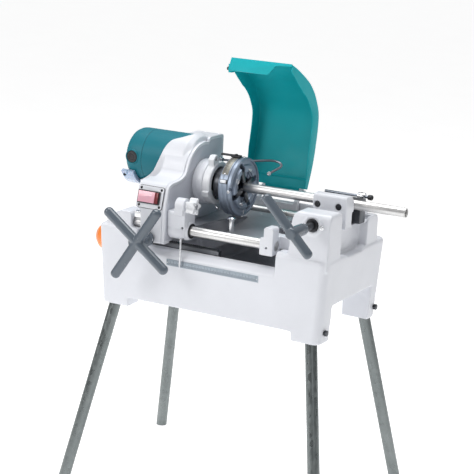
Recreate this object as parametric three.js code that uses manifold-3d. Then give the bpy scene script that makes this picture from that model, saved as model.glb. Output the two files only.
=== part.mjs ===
// Pipe threading machine on a four-legged pipe stand.
// Millimetres, +Z up. X runs along the spindle, from the motor to the vise; Y runs to the back.
// Everything is drawn in a machine frame whose X axis lies under the spindle line and whose z = 0
// is 190 above the floor; the exported group is shifted so that its origin is the middle of the bounding box base.
import * as THREE from 'three';
import { mergeVertices } from 'three/addons/utils/BufferGeometryUtils.js';
import Module from 'manifold-3d';

const wasm = await Module();
wasm.setup();

// ---------------------------------------------------------------- driving dimensions
const GAP = 0.3;                              // clearance between touching pieces

const FLOOR_Z = -190;                         // where the stand pipes are cut off
const SPINDLE_Z = 697;                        // spindle line
const PIPE_R = 13.45, PIPE_BORE = 10.6;       // 3/4 inch work pipe
const PIPE_X0 = -2, PIPE_X1 = 494;

const LEG_R = 16.85, LEG_BORE = 13.6;         // 1 inch stand pipe
const LEG_TOP = [315, 168, 345];              // socket mouth centre
const SPLAY_X = 0.183, SPLAY_Y = 0.190;       // run outward per unit of drop
const LEG_END_Z = 428;

const BASE_TOP_Z = 574, BASE_FOOT_Z = 340;
const BASE_TOP = [361, 197], BASE_BOT = [347, 190];   // half sizes, with casting draft
const CORNERS = [34, 12, 10, 24];             // rear right, rear left, front left, front right
const RIM_Z = 531, TRAY_FLOOR_Z = 452;
const TRAY = [-252, 232, -172, 180];          // tray opening

const BAR_R = 14.5;
const BAR_F = [-160, 586], BAR_B = [150, 600];        // guide bar centres (y, z)
const BAR_X0 = -350;

const MOTOR = [10, 746], MOTOR_R = 78;        // motor axis (y, z)
const MOTOR_X0 = -374, MOTOR_SEAM = -310, MOTOR_X1 = -232;

const HOUSE_X0 = -225, HOUSE_X1 = -150, FACE_X = -140;
const ARCH = [4, 713, 96];

const HEAD_R = 84, HEAD_X0 = -42, HEAD_X1 = 2;

const WHEEL = [-190, 557];                    // feed shaft (x, z)
const PINION_M = 2, PINION_T = 12;            // pitch radius 12
const SCREW = [308, 668];                     // vise screw (x, z)

const G1 = { m: 2.5, t: 48 };                 // spindle gear
const G2 = { m: 2.5, t: 14 };                 // cluster pinion
const G3 = { m: 2, t: 40 };                   // cluster gear
const G4 = { m: 2, t: 10 };                   // motor pinion

const COVER_HINGE = [204, 660];

// ---------------------------------------------------------------- solids
const fromGeometry = (g) => {
  g = g.index ? g.toNonIndexed() : g;
  g.deleteAttribute('normal');
  g.deleteAttribute('uv');
  const m = mergeVertices(g, 1e-4);
  const mesh = new wasm.Mesh({
    numProp: 3,
    vertProperties: new Float32Array(m.attributes.position.array),
    triVerts: new Uint32Array(m.index.array),
  });
  return new wasm.Manifold(mesh);
};
const toGeometry = (s) => {
  const m = s.getMesh();
  const g = new THREE.BufferGeometry();
  g.setAttribute('position', new THREE.BufferAttribute(new Float32Array(m.vertProperties), 3));
  g.setIndex(new THREE.BufferAttribute(new Uint32Array(m.triVerts), 1));
  g.computeVertexNormals();
  return g;
};
const union = (...s) => s.reduce((a, b) => a.add(b));
const cut = (a, ...s) => s.reduce((p, b) => p.subtract(b), a);
const box = (x0, x1, y0, y1, z0, z1) =>
  fromGeometry(new THREE.BoxGeometry(x1 - x0, y1 - y0, z1 - z0).translate((x0 + x1) / 2, (y0 + y1) / 2, (z0 + z1) / 2));
const basis = (m, rows) => m.set(...rows[0], ...rows[1], ...rows[2], 0, 0, 0, 1);
const TO_X = basis(new THREE.Matrix4(), [[0, 0, 1, 0], [1, 0, 0, 0], [0, 1, 0, 0]]);   // (u,v,w) -> (w,u,v)
const TO_Y = basis(new THREE.Matrix4(), [[0, 1, 0, 0], [0, 0, 1, 0], [1, 0, 0, 0]]);   // (u,v,w) -> (v,w,u)
const TO_Z = basis(new THREE.Matrix4(), [[0, 1, 0, 0], [0, 0, 1, 0], [1, 0, 0, 0]]);   // X to Z
const shapeOf = (pts, holes = []) => {
  const s = new THREE.Shape(pts.map((p) => new THREE.Vector2(p[0], p[1])));
  for (const h of holes) s.holes.push(new THREE.Path(h.map((p) => new THREE.Vector2(p[0], p[1]))));
  return s;
};
const prism = (pts, w0, w1, holes) => new THREE.ExtrudeGeometry(shapeOf(pts, holes), { depth: w1 - w0, bevelEnabled: false, curveSegments: 1 }).translate(0, 0, w0);
const prismX = (yz, x0, x1, holes) => fromGeometry(prism(yz, x0, x1, holes).applyMatrix4(TO_X));
const prismY = (xz, y0, y1) => fromGeometry(prism(xz.map((p) => [p[1], p[0]]), y0, y1).applyMatrix4(TO_Y));
const prismZ = (xy, z0, z1, holes) => fromGeometry(prism(xy, z0, z1, holes));
const ring = (cu, cv, r, n = 32, a0 = 0) => Array.from({ length: n }, (_, i) => {
  const a = a0 + (i / n) * Math.PI * 2;
  return [cu + r * Math.cos(a), cv + r * Math.sin(a)];
});
const cylX = (y, z, r, x0, x1, n = 24) => prismX(ring(y, z, r, n), x0, x1);
const cylY = (x, z, r, y0, y1, n = 24) => prismY(ring(x, z, r, n), y0, y1);
const cylZ = (x, y, r, z0, z1, n = 32) => prismZ(ring(x, y, r, n), z0, z1);
// turned piece about a line along X: profile of [x, r] pairs, closed on the axis or on itself
const turnX = (profile, y, z, n = 32) => {
  const g = new THREE.LatheGeometry(profile.map((p) => new THREE.Vector2(p[1], p[0])), n);
  g.applyMatrix4(basis(new THREE.Matrix4(), [[0, 1, 0, 0], [0, 0, 1, 0], [1, 0, 0, 0]]));
  g.translate(0, y, z);
  return orient(g);
};
const turnY = (profile, x, z, n = 32) => {
  const g = new THREE.LatheGeometry(profile.map((p) => new THREE.Vector2(p[1], p[0])), n);
  g.applyMatrix4(basis(new THREE.Matrix4(), [[1, 0, 0, 0], [0, 1, 0, 0], [0, 0, 1, 0]]));
  g.translate(x, 0, z);
  return orient(g);
};
const turnZ = (profile, x, y, n = 32) => {
  const g = new THREE.LatheGeometry(profile.map((p) => new THREE.Vector2(p[1], p[0])), n);
  g.applyMatrix4(basis(new THREE.Matrix4(), [[0, 1, 0, 0], [0, 0, 1, 0], [1, 0, 0, 0]])).applyMatrix4(TO_Z);
  g.translate(x, y, 0);
  return orient(g);
};
// turned pieces may come out inside out, depending on which way the profile runs
const orient = (g) => {
  let s = fromGeometry(g);
  if (s.volume() < 0 || s.isEmpty()) {
    const m = g.index ? g.toNonIndexed() : g;
    const p = m.attributes.position.array;
    for (let i = 0; i < p.length; i += 9) for (let k = 0; k < 3; k++) { const t = p[i + 3 + k]; p[i + 3 + k] = p[i + 6 + k]; p[i + 6 + k] = t; }
    s = fromGeometry(m);
  }
  return s;
};
// stack of equal-length closed sections
const loft = (rings) => {
  const n = rings[0].length, pos = [], tri = [];
  for (const r of rings) for (const p of r) pos.push(...p);
  const cap = THREE.ShapeUtils.triangulateShape(rings[0].map((p) => new THREE.Vector2(p[0], p[1])), []);
  for (let k = 0; k < rings.length - 1; k++) for (let i = 0; i < n; i++) {
    const j = (i + 1) % n, a = k * n + i, b = k * n + j, c = a + n, d = b + n;
    tri.push(a, b, d, a, d, c);
  }
  const top = (rings.length - 1) * n;
  for (const [a, b, c] of cap) { tri.push(a, c, b); tri.push(top + a, top + b, top + c); }
  const g = new THREE.BufferGeometry();
  g.setAttribute('position', new THREE.BufferAttribute(new Float32Array(pos), 3));
  g.setIndex(tri);
  return fromGeometry(g);
};
const roundRect = (hx, hy, radius, z, cx = 0, cy = 0, n = 5) => {
  const out = [];
  [[1, 1, 0], [-1, 1, 90], [-1, -1, 180], [1, -1, 270]].forEach(([sx, sy, a0], k) => {
    const r = Array.isArray(radius) ? radius[k] : radius;
    for (let i = 0; i <= n; i++) {
      const a = (a0 + (90 * i) / n) * Math.PI / 180;
      out.push([cx + sx * (hx - r) + r * Math.cos(a), cy + sy * (hy - r) + r * Math.sin(a), z]);
    }
  });
  return out;
};
// round bar between two points, with optional domed ends
const rod = (a, b, r, n = 20, dome = 0) => {
  const A = new THREE.Vector3(...a), B = new THREE.Vector3(...b);
  const L = A.distanceTo(B), p = [[0, 0]];
  if (dome) p.push([0, 0.45 * r], [0.3 * dome, 0.8 * r]);
  p.push([dome, r], [L - dome, r]);
  if (dome) p.push([L - 0.3 * dome, 0.8 * r], [L, 0.45 * r]);
  p.push([L, 0]);
  const g = new THREE.LatheGeometry((dome ? p : [[0, 0], [0, r], [L, r], [L, 0]]).map((q) => new THREE.Vector2(q[1], q[0])), n);
  const q = new THREE.Quaternion().setFromUnitVectors(new THREE.Vector3(0, 1, 0), B.clone().sub(A).normalize());
  g.applyQuaternion(q).translate(...a);
  return orient(g);
};
// spur gear outline with slim teeth, so that a meshed pair keeps backlash
const gearRing = (cu, cv, { m, t }, phase, slim = 0.4) => {
  const r = (m * t) / 2, ro = r + 0.85 * m, ri = r - 1.2 * m, out = [];
  const p = (Math.PI * 2) / t;
  for (let i = 0; i < t; i++) {
    const c = phase + i * p;
    const w = p * slim;
    for (const [a, rr] of [[-0.62 * w, ri], [-0.27 * w, ro], [0.27 * w, ro], [0.62 * w, ri]])
      out.push([cu + rr * Math.cos(c + a), cv + rr * Math.sin(c + a)]);
  }
  return out;
};

// ---------------------------------------------------------------- scene
const group = new THREE.Group();
group.name = 'pipe_threading_machine';
const machine = new THREE.Group();
group.add(machine);
const PAINT = { color: 0xd9dde3, roughness: 0.45, metalness: 0.0 };
const SHADE = { color: 0x9aa2ad, roughness: 0.5, metalness: 0.1 };
const TEAL = { color: 0x13727a, roughness: 0.4, metalness: 0.0 };
const CHROME = { color: 0xc9ccd0, roughness: 0.2, metalness: 1.0 };
const ZINC = { color: 0xa9b0b5, roughness: 0.45, metalness: 0.8 };
const STEEL = { color: 0x8d9299, roughness: 0.35, metalness: 0.9 };
const BLUED = { color: 0x5e6c7c, roughness: 0.4, metalness: 0.7 };
const DARK = { color: 0x1c1e22, roughness: 0.5, metalness: 0.3 };
const GRIP = { color: 0x4d5964, roughness: 0.35, metalness: 0.3 };
const ORANGE = { color: 0xf08a35, roughness: 0.4, metalness: 0.0 };
const ROCK = { color: 0xe98a94, roughness: 0.3, metalness: 0.0 };
const add = (name, solid, mat) => {
  const mesh = new THREE.Mesh(toGeometry(solid), new THREE.MeshStandardMaterial(mat));
  mesh.name = name;
  machine.add(mesh);
  return mesh;
};

// ---------------------------------------------------------------- base casting
const half = (z) => {
  const t = (z - BASE_FOOT_Z) / (BASE_TOP_Z - BASE_FOOT_Z);
  return [BASE_BOT[0] + t * (BASE_TOP[0] - BASE_BOT[0]), BASE_BOT[1] + t * (BASE_TOP[1] - BASE_BOT[1])];
};
const section = (z, inset, r = CORNERS) => { const [hx, hy] = half(z); return roundRect(hx - inset, hy - inset, r.map((q) => Math.max(5, q - inset)), z); };
const outer = loft([section(BASE_FOOT_Z, 2), section(BASE_FOOT_Z + 3, 0), section(BASE_TOP_Z - 6, 0), section(BASE_TOP_Z, 5)]);
const legAt = (sx, sy, z) => [sx * (LEG_TOP[0] + SPLAY_X * (LEG_TOP[2] - z)), sy * (LEG_TOP[1] + SPLAY_Y * (LEG_TOP[2] - z)), z];

const [TX0, TX1, TY0, TY1] = TRAY;
// the bowl that catches oil and chips
const bowl = loft([
  roundRect((TX1 - TX0) / 2 - 14, (TY1 - TY0) / 2 - 14, 16, TRAY_FLOOR_Z, (TX0 + TX1) / 2, (TY0 + TY1) / 2, 3),
  roundRect((TX1 - TX0) / 2 - 3, (TY1 - TY0) / 2 - 3, 17, TRAY_FLOOR_Z + 18, (TX0 + TX1) / 2, (TY0 + TY1) / 2, 3),
  roundRect((TX1 - TX0) / 2, (TY1 - TY0) / 2, 18, 700, (TX0 + TX1) / 2, (TY0 + TY1) / 2, 3),
]);
// front rim drops lower than the end decks and rolls over to the outside
const frontDrop = prismX([[-205, 508], [-196.5, 508], [-190, 518], [-181, 527], [-168, RIM_Z], [-168, 640], [-205, 640]], -232, 207);
const rearWall = prismX([[183, 500], [192, 500], [192, 630], [189, 632], [186, 632], [183, 630]], -258, 262);
const shoulderProfile = (dz) => [[-360, 540], [-360, 564], [-350, 576], [-325, 600 + dz], [-310, 612 + dz], [-297, 618 + dz], [-268, 618 + dz], [-260, 611 + dz], [-258, 540]];
const frontTower = (() => {
  const face = prismX([[-190, 545], [-187, 660], [-180, 690], [-172, 698], [-116, 698], [-110, 692], [-108, 545]], 240, 359);
  const left = prismY([[225, 540], [359, 540], [359, 700], [262, 700], [249, 690], [244, 672], [243, 600], [225, 580]], -195, -100);
  return face.intersect(left);
})();
const rearTower = union(
  prismX([[60, 545], [64, 640], [72, 653], [120, 653], [130, 645], [134, 545]], 300, 357),
  box(246, 302, 64, 183.5, 545, 640),
);
const viseBed = box(262, 330, -112, 100, 540, 637);
const footCut = union(
  box(-262, 262, -210, 210, 330, 366),
  box(-370, 370, -126, 126, 330, 441),
);
const leftHollow = loft([roundRect(40, 176, 14, 330, -302, 0, 2), roundRect(42, 172, 14, 556, -302, 0, 2)]);
const rightHollow = loft([roundRect(50, 176, 14, 330, 291, 0, 2), roundRect(44, 60, 14, 528, 291, 0, 2)]);
const midHollow = loft([roundRect(262, 176, 14, 330, 0, 0, 2), roundRect(262, 176, 14, 441, 0, 0, 2)]);
const footBlock = (sx, sy) => {
  const xs = sx > 0 ? [264, 380] : [-380, -264], ys = sy > 0 ? [128, 210] : [-210, -128];
  return outer.intersect(box(xs[0], xs[1], ys[0], ys[1], BASE_FOOT_Z, 446));
};
let base = union(outer, prismY(shoulderProfile(0), -186, -118), prismY(shoulderProfile(-2), 118, 186), frontTower, rearTower, viseBed);
base = cut(base, bowl.subtract(union(viseBed, rearTower, frontTower, prismY(shoulderProfile(0), -186, -118), prismY(shoulderProfile(-2), 118, 186))), frontDrop);
base = union(base, rearWall, box(207, 243, -190, -150, 500, 580), box(-262, 262, 178, 190, 446, 560));
// valley under the pipe, between the vise towers
base = cut(base, prismX([[-74, 572], [-60, 566], [30, 566], [44, 572], [58, 612], [66, 660], [66, 760], [-104, 760], [-104, 640], [-96, 600]], 334, 372));
base = cut(base, box(236, 349.7, -104, 98, 637, 760));
base = cut(base, midHollow, leftHollow, rightHollow, footCut.subtract(union(...[[1, 1], [1, -1], [-1, 1], [-1, -1]].map(([a, b]) => box(a > 0 ? 262 : -370, a > 0 ? 370 : -262, b > 0 ? 126 : -210, b > 0 ? 210 : -126, 330, 441)))));
base = union(base, ...[[1, 1], [1, -1], [-1, 1], [-1, -1]].map(([a, b]) => footBlock(a, b)));
for (const [a, b] of [[1, 1], [1, -1], [-1, 1], [-1, -1]]) base = cut(base, rod(legAt(a, b, 300), legAt(a, b, LEG_END_Z + 2), LEG_R + GAP + 0.3, 16));
// bores for the guide bars, the vise screw, the filler cap and the stand clamp screws
base = cut(base,
  cylX(...BAR_F, BAR_R + GAP + 0.2, -352, -225, 20), cylX(...BAR_B, BAR_R + GAP + 0.2, -352, -225, 20), cylX(...BAR_B, BAR_R + GAP + 0.2, 240, 262, 20),
  cylY(...SCREW, 17.6, -200, -150, 16), cylY(...SCREW, 12.4, -160, -100, 12), cylY(...SCREW, 12.4, 60, 120, 12),
  cylX(-112, 515, 24, -380, -345, 16));
for (const [a, b] of [[1, 1], [1, -1], [-1, 1], [-1, -1]]) base = cut(base, cylX(b * 160, 372, 5.6, a > 0 ? 300 : -400, a > 0 ? 400 : -300, 8));
const pieces = base.decompose ? base.decompose() : [base];
pieces.sort((p, q) => q.volume() - p.volume());
base = pieces[0];
add('base_casting', base, PAINT);

add('chip_screen', cut(prismZ([[-143, -160], [226, -160], [226, 168], [-143, 168]], 476, 479), ...[-60, 20, 100].map((x) => box(x, x + 60, -120, -100, 470, 485))), BLUED);
const strip = (z) => -half(z)[1] - GAP;
add('scale_strip', prismX([[strip(486), 486], [strip(505), 505], [strip(505) - 1.2, 505], [strip(486) - 1.2, 486]], -133, 158), ZINC);

const legNames = { '-1-1': 'leg_front_left', '1-1': 'leg_front_right', '-11': 'leg_rear_left', '11': 'leg_rear_right' };
for (const [a, b] of [[-1, -1], [1, -1], [-1, 1], [1, 1]]) {
  const key = `${a}${b}`;
  const tube = cut(rod(legAt(a, b, FLOOR_Z - 40), legAt(a, b, LEG_END_Z), LEG_R, 16), rod(legAt(a, b, FLOOR_Z - 80), legAt(a, b, LEG_END_Z + 30), LEG_BORE, 10));
  add(legNames[key], cut(tube, box(-600, 600, -400, 400, FLOOR_Z - 120, FLOOR_Z)), ZINC);
  const x0 = a * (BASE_BOT[0] + 4.5), xin = a * 332.5;
  const head = cylX(b * 160, 372, 8.5, Math.min(x0, x0 + a * 7), Math.max(x0, x0 + a * 7), 6);
  const shank = cylX(b * 160, 372, 5, Math.min(x0, xin), Math.max(x0, xin), 8);
  add(legNames[key].replace('leg', 'leg_screw'), union(head, shank), STEEL);
}

add('front_guide_bar', cylX(...BAR_F, BAR_R, BAR_X0, 190, 28), CHROME);
add('rear_guide_bar', cylX(...BAR_B, BAR_R, BAR_X0, 260, 28), CHROME);
add('front_bar_bracket', cut(union(
  prismY([[152, 562], [192, 562], [192, 610], [152, 610]], -186, -140),
  prismY([[163, 600], [192, 600], [192, 635], [187, 640], [168, 640], [163, 635]], -186, -150),
  prismY([[152, 576], [239.7, 576], [239.7, 606], [192, 612], [152, 612]], -140, -114),
), cylX(...BAR_F, BAR_R + GAP, 100, 191, 24), cylY(172, 583, 3.4, -190, -172, 10)), PAINT);

// feed rack inside the front rim
const rackPitch = Math.PI * PINION_M, rackZ = WHEEL[1] - (PINION_M * PINION_T) / 2;
const rackOutline = (() => {
  const pts = [[-234, 524]], s = 0.4 * rackPitch;
  const top = rackZ + 0.85 * PINION_M, low = rackZ - 1.25 * PINION_M;
  pts.push([16, 524], [16, low]);
  const k0 = Math.floor((10 - WHEEL[0]) / rackPitch), k1 = Math.ceil((-228 - WHEEL[0]) / rackPitch);
  for (let k = k0; k >= k1; k--) {
    const c = WHEEL[0] + (k + 0.5) * rackPitch;
    if (c + 0.62 * s > 14 || c - 0.62 * s < -232.5) continue;
    pts.push([c + 0.62 * s, low], [c + 0.26 * s, top], [c - 0.26 * s, top], [c - 0.62 * s, low]);
  }
  pts.push([-234, low]);
  return pts;
})();
add('feed_rack', prismY(rackOutline, -167, -150), STEEL);

add('drain_cap', turnX([[-346, 0], [-346, 22], [-364.5, 22], [-364.5, 46], [-378, 45.5], [-398, 39], [-412, 26], [-417.5, 14], [-419, 0]], -112, 515, 20), ORANGE);
add('vise_bush', turnY([[-194, 10.3], [-194, 17], [-152, 17], [-152, 10.3], [-194, 10.3]], ...SCREW, 24), STEEL);

// stop rod on its post behind the pipe, with a knurled nut on its end
const ROD = [114, 697];
add('stop_rod_holder', cut(union(box(302, 318, 105, 123, 653.3, 692), cylX(...ROD, 11, 300, 320, 16)), cylX(...ROD, 4.4, 295, 330, 12)), STEEL);
add('stop_rod', cylX(...ROD, 4, 195, 340, 12), CHROME);
add('stop_rod_screw', cut(turnX([[329, 4.4], [329, 6.2], [331, 7.6], [341, 7.6], [343, 6], [343, 4.4], [329, 4.4]], ...ROD, 16)), DARK);

// ---------------------------------------------------------------- headstock
const S = [0, SPINDLE_Z];
const dSM = Math.hypot(MOTOR[0] - S[0], MOTOR[1] - S[1]);
const r12 = (G1.m * G1.t + G2.m * G2.t) / 2, r34 = (G3.m * G3.t + G4.m * G4.t) / 2;
const along = (r12 * r12 - r34 * r34 + dSM * dSM) / (2 * dSM), off = Math.sqrt(r12 * r12 - along * along);
const u = [(MOTOR[0] - S[0]) / dSM, (MOTOR[1] - S[1]) / dSM];
const CL = [S[0] + along * u[0] + off * u[1], S[1] + along * u[1] - off * u[0]];   // cluster gear line

const arc = (cu, cv, r, a0, a1, n) => Array.from({ length: n + 1 }, (_, i) => { const a = (a0 + ((a1 - a0) * i) / n) * Math.PI / 180; return [cu + r * Math.cos(a), cv + r * Math.sin(a)]; });
const archOutline = [
  [-203, 545], [-128, 545], [-128, 574], [118, 574], [118, 570], [176, 570], [176, 577], [180, 581], [180, 632], [172, 640], [116, 648], [111, 660],
  [111, 812], [104, 819], [34, 819], [26, 812],
  ...arc(ARCH[0], ARCH[1], ARCH[2], 76, 166, 14),
  [-103, 727], [-120, 718], [-139, 715.5], [-170, 713], [-181, 709], [-187, 702], [-203, 640],
];
const cavity = union(cylX(...S, 68.5, -222, HOUSE_X1 + 1, 24), cylX(...CL, 45.5, -222, HOUSE_X1 + 1, 20));
const sEdge = [[-160, 840], [-170, 830], [-195, 820], [-220, 811], [-229, 800], [-234, 790], [-238, 778], [-242, 766], [-247, 753], [-253, 740], [-260, 728], [-268, 717], [-280, 706], [-298, 694], [-318, 683], [-334, 676], [-334, 560], [-140, 560], [-140, 840]];
const cradle = union(cylX(...MOTOR, 86, -330, -168, 28), turnX([[-168, 0], [-168, 86], [-152, 75], [-152, 0]], ...MOTOR, 28), box(-300, -224, -50, 86, 640, 700))
  .intersect(prismY(sEdge, -200, 200));
const neck = prismY([[-300, 668], [-300, 656], [-262, 632], [-240, 600], [-224.5, 580], [-224.5, 690], [-280, 700]], -60, 96);
let housing = union(prismX(archOutline, HOUSE_X0, HOUSE_X1), cradle, neck, prismX([[-203, 638], [-187, 702], [-181, 709], [-170, 713], [-120, 716], [-120, 638]], -238, -224.5));
housing = cut(housing,
  cylX(...MOTOR, MOTOR_R + GAP + 0.5, -340, MOTOR_X1 + GAP, 28),
  cylX(...MOTOR, MOTOR_R + GAP + 0.5, -240, -164.7, 28).intersect(box(-240, -160, -120, 120, 803.7, 830)),
  cavity,
  cylX(...MOTOR, 9, -240, -215, 16),
  cylX(...BAR_F, BAR_R + 2, -260, -140, 24), cylX(...BAR_B, BAR_R + 2, -260, -140, 24),
  cylY(...WHEEL, 16, -172, -146, 20), cylY(...WHEEL, 9.4, -210, -140, 16),
  box(-240, -140, -174, -146, 540, 549),
  prismY([[-240, 500], [-221, 500], [-221, 636], [-240, 641]], -210, -120),
  // recess behind the switch plate
  box(-227, -163, -220, -170, 652, 690),
);
add('gear_housing', housing, PAINT);

const coverOutline = archOutline;
add('housing_front', cut(prismX(coverOutline, HOUSE_X1 + GAP, FACE_X), cylX(...S, 27, -160, -130, 24),
  cylX(...BAR_F, BAR_R + 2, -160, -130, 24), cylX(...BAR_B, BAR_R + 2, -160, -130, 24),
  box(-160, -130, -174, -146, 540, 549)), SHADE);

const lobe = cylX(...MOTOR, MOTOR_R, MOTOR_X1 - 2, -165, 28).intersect(box(-250, -160, -120, 120, 804, 830));
const casing = cut(union(cylX(...MOTOR, MOTOR_R, MOTOR_SEAM + GAP, MOTOR_X1, 28), lobe), cylX(...MOTOR, 62, MOTOR_SEAM - 5, MOTOR_X1 - 5, 20), cylX(...MOTOR, 8.6, -240, -150, 16));
add('motor_casing', casing, TEAL);
add('motor_end_cap', cut(turnX([[MOTOR_X0, 0], [MOTOR_X0, 50], [-371, 62], [-363, 71.5], [-352, 76.8], [-342, MOTOR_R], [MOTOR_SEAM, MOTOR_R], [MOTOR_SEAM, 62], [-354, 62], [-354, 12], [-362, 12], [-362, 0]], ...MOTOR, 28),
  cylY(-341, 749, 17.6, -80, -40, 16), cylY(-341, 749, 17.6, 60, 100, 16)), TEAL);
add('brush_cap_front', turnY([[-50, 0], [-50, 10], [-57, 10], [-57, 17], [-68.5, 17], [-70, 15], [-70, 7], [-67.5, 6], [-67.5, 0]], -341, 749, 16), DARK);
add('brush_cap_rear', turnY([[70, 0], [70, 10], [77, 10], [77, 17], [88.5, 17], [90, 15], [90, 7], [87.5, 6], [87.5, 0]], -341, 749, 16), DARK);
add('motor_saddle', cut(prismX([...arc(...MOTOR, MOTOR_R + 12, 208, 312, 16), ...arc(...MOTOR, MOTOR_R + 1.2, 312, 208, 16)], -376, -335), cylZ(-356, -66, 3, 640, 760, 10)), { color: 0xa9bcd6, roughness: 0.35, metalness: 0.0 });

// slide bushes on the guide bars
const KNOB = [-176, 660];
add('front_bearing_arm', cut(union(
  prismX([[-184, 586], [-136, 586], [-132, 604], [-132, 628], [-140, 640], [-158, 642], [-188, 642], [-190, 634], [-188, 600]], FACE_X + GAP, -84),
  cylX(...BAR_F, 27.5, FACE_X + GAP, -84, 28), cylX(...BAR_F, 24.5, -84, -77, 28),
  cylX(...KNOB, 20, -114, -86, 24),
  prismX([[-196, 630], [-158, 630], [-156.4, 656], [-195.6, 656]], -114, -88),
), cylX(...BAR_F, BAR_R + 0.3, -160, -60, 28), cylY(-92, 597, 3.4, -200, -176, 10), cylX(...KNOB, 5.3, -130, -80, 12)), PAINT);
add('rear_bearing_arm', cut(union(
  prismX([[128, 574], [174, 574], [180, 580], [180, 630], [134, 632], [128, 626]], FACE_X + GAP, -82),
  prismX([[166.5, 604], [180, 604], [180, 630], [166.5, 630]], -84, 84),
  ...[[-54, -42], [70, 82]].map(([a, b]) => prismX([[166.5, 624], [180, 624], [180, 634], [206, 646], [212, 652], [214, 660], [211, 668], [204, 670.4], [197.4, 668], [193, 660], [166.5, 636]], a, b)),
), cylX(...BAR_B, BAR_R + 0.3, -160, -60, 28), cylX(...COVER_HINGE, 4.3, -60, 100, 16)), PAINT);

// switch plate and rocker, on a face that leans back
const tilt = Math.atan2(16, 62);
const plateFrame = (g) => g.rotateX(-tilt).translate(-192, -195.4, 671);
const onPlate = (hw, hh, d0, d1, dx = 0) => fromGeometry(plateFrame(new THREE.BoxGeometry(hw * 2, d1 - d0, hh * 2).translate(dx, -(d0 + d1) / 2, 0)));
const plateRound = (() => {
  const g = prism(roundRect(40, 31, 7, 0, 0, 0, 3).map((p) => [p[0], p[1]]), 0, 3).rotateX(Math.PI / 2);
  return fromGeometry(plateFrame(g.translate(0, -0.6, 0)));
})();
const SW = -3;                                // the switch sits left of the plate's middle
add('switch_plate', cut(plateRound, onPlate(31, 15, -5, 8, SW)), PAINT);
add('rocker_frame', cut(union(onPlate(35.5, 18.7, 3.9, 8.4, SW), onPlate(30.6, 14.6, -12, 4, SW)), onPlate(29, 13, -20, 12, SW), onPlate(33.6, 16.6, 4.6, 12, SW)), DARK);
const alongPlate = (pts, w) => fromGeometry(plateFrame(prism(pts, -w, w).applyMatrix4(basis(new THREE.Matrix4(), [[1, 0, 0, 0], [0, -1, 0, 0], [0, 0, -1, 0]])).translate(SW, 0, 0)));
add('rocker_switch', union(
  alongPlate([[-32.6, 8.6], [-32.6, 11.6], [0, 9], [32.6, 13], [32.6, 8.6], [0, 5.2]], 15.6),
  alongPlate([[-24, 8.4], [24, 8.4], [20, 0], [6, -6], [-6, -6], [-20, 0]], 11.5)), ROCK);

// bearing collar, in two rings
add('bearing_collar', turnX([[FACE_X + GAP, 26.6], [FACE_X + GAP, 63], [-135, 64], [-112, 64], [-108, 62.5], [-108, 26.6], [FACE_X + GAP, 26.6]], ...S, 24), PAINT);
add('lug_ring', cut(union(turnX([[-107.7, 47], [-107.7, 61], [-104, 62.5], [-88, 62.5], [-84, 60.5], [-84, 47], [-107.7, 47]], ...S, 24),
  prismX([[-34, 748], [-8, 756], [-10, 775], [-17, 781], [-28, 779], [-38, 768]], -104, -86)),
  cylX(-22, 767, 5, -110, -80, 14)), PAINT);

// sheet under the collar and the sloping plate under the die head, which drop oil and chips in the tray
const slope = (y) => 567 + (y + 112) * 0.161;
add('drip_chute', union(
  prismZ([[FACE_X + GAP, -124], [-101, -124], [-94, -118], [-72, 30], [-70, 118], [FACE_X + GAP, 118]], 588, 590.4),
  prismX([[-112, slope(-112)], [112, slope(112)], [112, slope(112) + 2.4], [-112, slope(-112) + 2.4]], -18, 108),
  prismX([[60, 587], [112, 587], [112, slope(112) + 2.4], [60, slope(60) + 2.4]], -73, -17),
  prismX([[-112, slope(-112) - 8], [-109.6, slope(-112) - 8], [-109.6, slope(-112) + 2], [-112, slope(-112) + 1]], -18, 108),
  cylZ(-8, -60, 9.2, slope(-60), 612, 12), turnZ([[611, 0], [611, 13], [615.5, 11.8], [619.5, 8], [621.6, 0]], -8, -60, 16),
), SHADE);

// coolant pipe and its nozzle
const pipePath = (pts, r, n, steps, bore) => {
  const curve = new THREE.CatmullRomCurve3(pts.map((p) => new THREE.Vector3(...p)), false, 'centripetal');
  const sec = shapeOf(ring(0, 0, r, n));
  return orient(new THREE.ExtrudeGeometry(sec, { extrudePath: curve, steps, bevelEnabled: false, curveSegments: 1 }));
};
add('coolant_tube', pipePath([[FACE_X + 6, 80, 748], [-127, 80, 748], [-118, 80, 748], [-60, 81, 752], [0, 76, 762], [40, 68, 769], [60, 61, 770.5], [73, 60, 768], [79.5, 59, 762.5], [77, 57, 756], [62, 49, 745], [47, 41, 734]], 4, 8, 20), ZINC);
add('coolant_union', union(cylX(80, 748, 8, FACE_X + GAP, -128, 6), cylX(80, 748, 6, -128, -122, 12)).subtract(cylX(80, 748, 4.3, -134.3, -110, 14)), STEEL);

add('depth_pointer', union(rod([-85, -203.5, 566], [-85, -203.5, 500], 3, 12), prismY([[-88, 502], [-82, 502], [-84.2, 487], [-85.8, 487]], -205.5, -201.5), box(-89, -81, -206.5, -190.3, 562, 571)), STEEL);

// star knob on the arm
const star = Array.from({ length: 30 }, (_, i) => { const a = (i / 30) * Math.PI * 2; const r = 20.5 + 4.5 * Math.cos(5 * a); return [KNOB[0] + r * Math.cos(a), KNOB[1] + r * Math.sin(a)]; });
add('star_knob', union(prismX(star, -78, -54), cylX(...KNOB, 12, -85, -78, 20), cylX(...KNOB, 5, -112, -84, 14)), PAINT);

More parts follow.
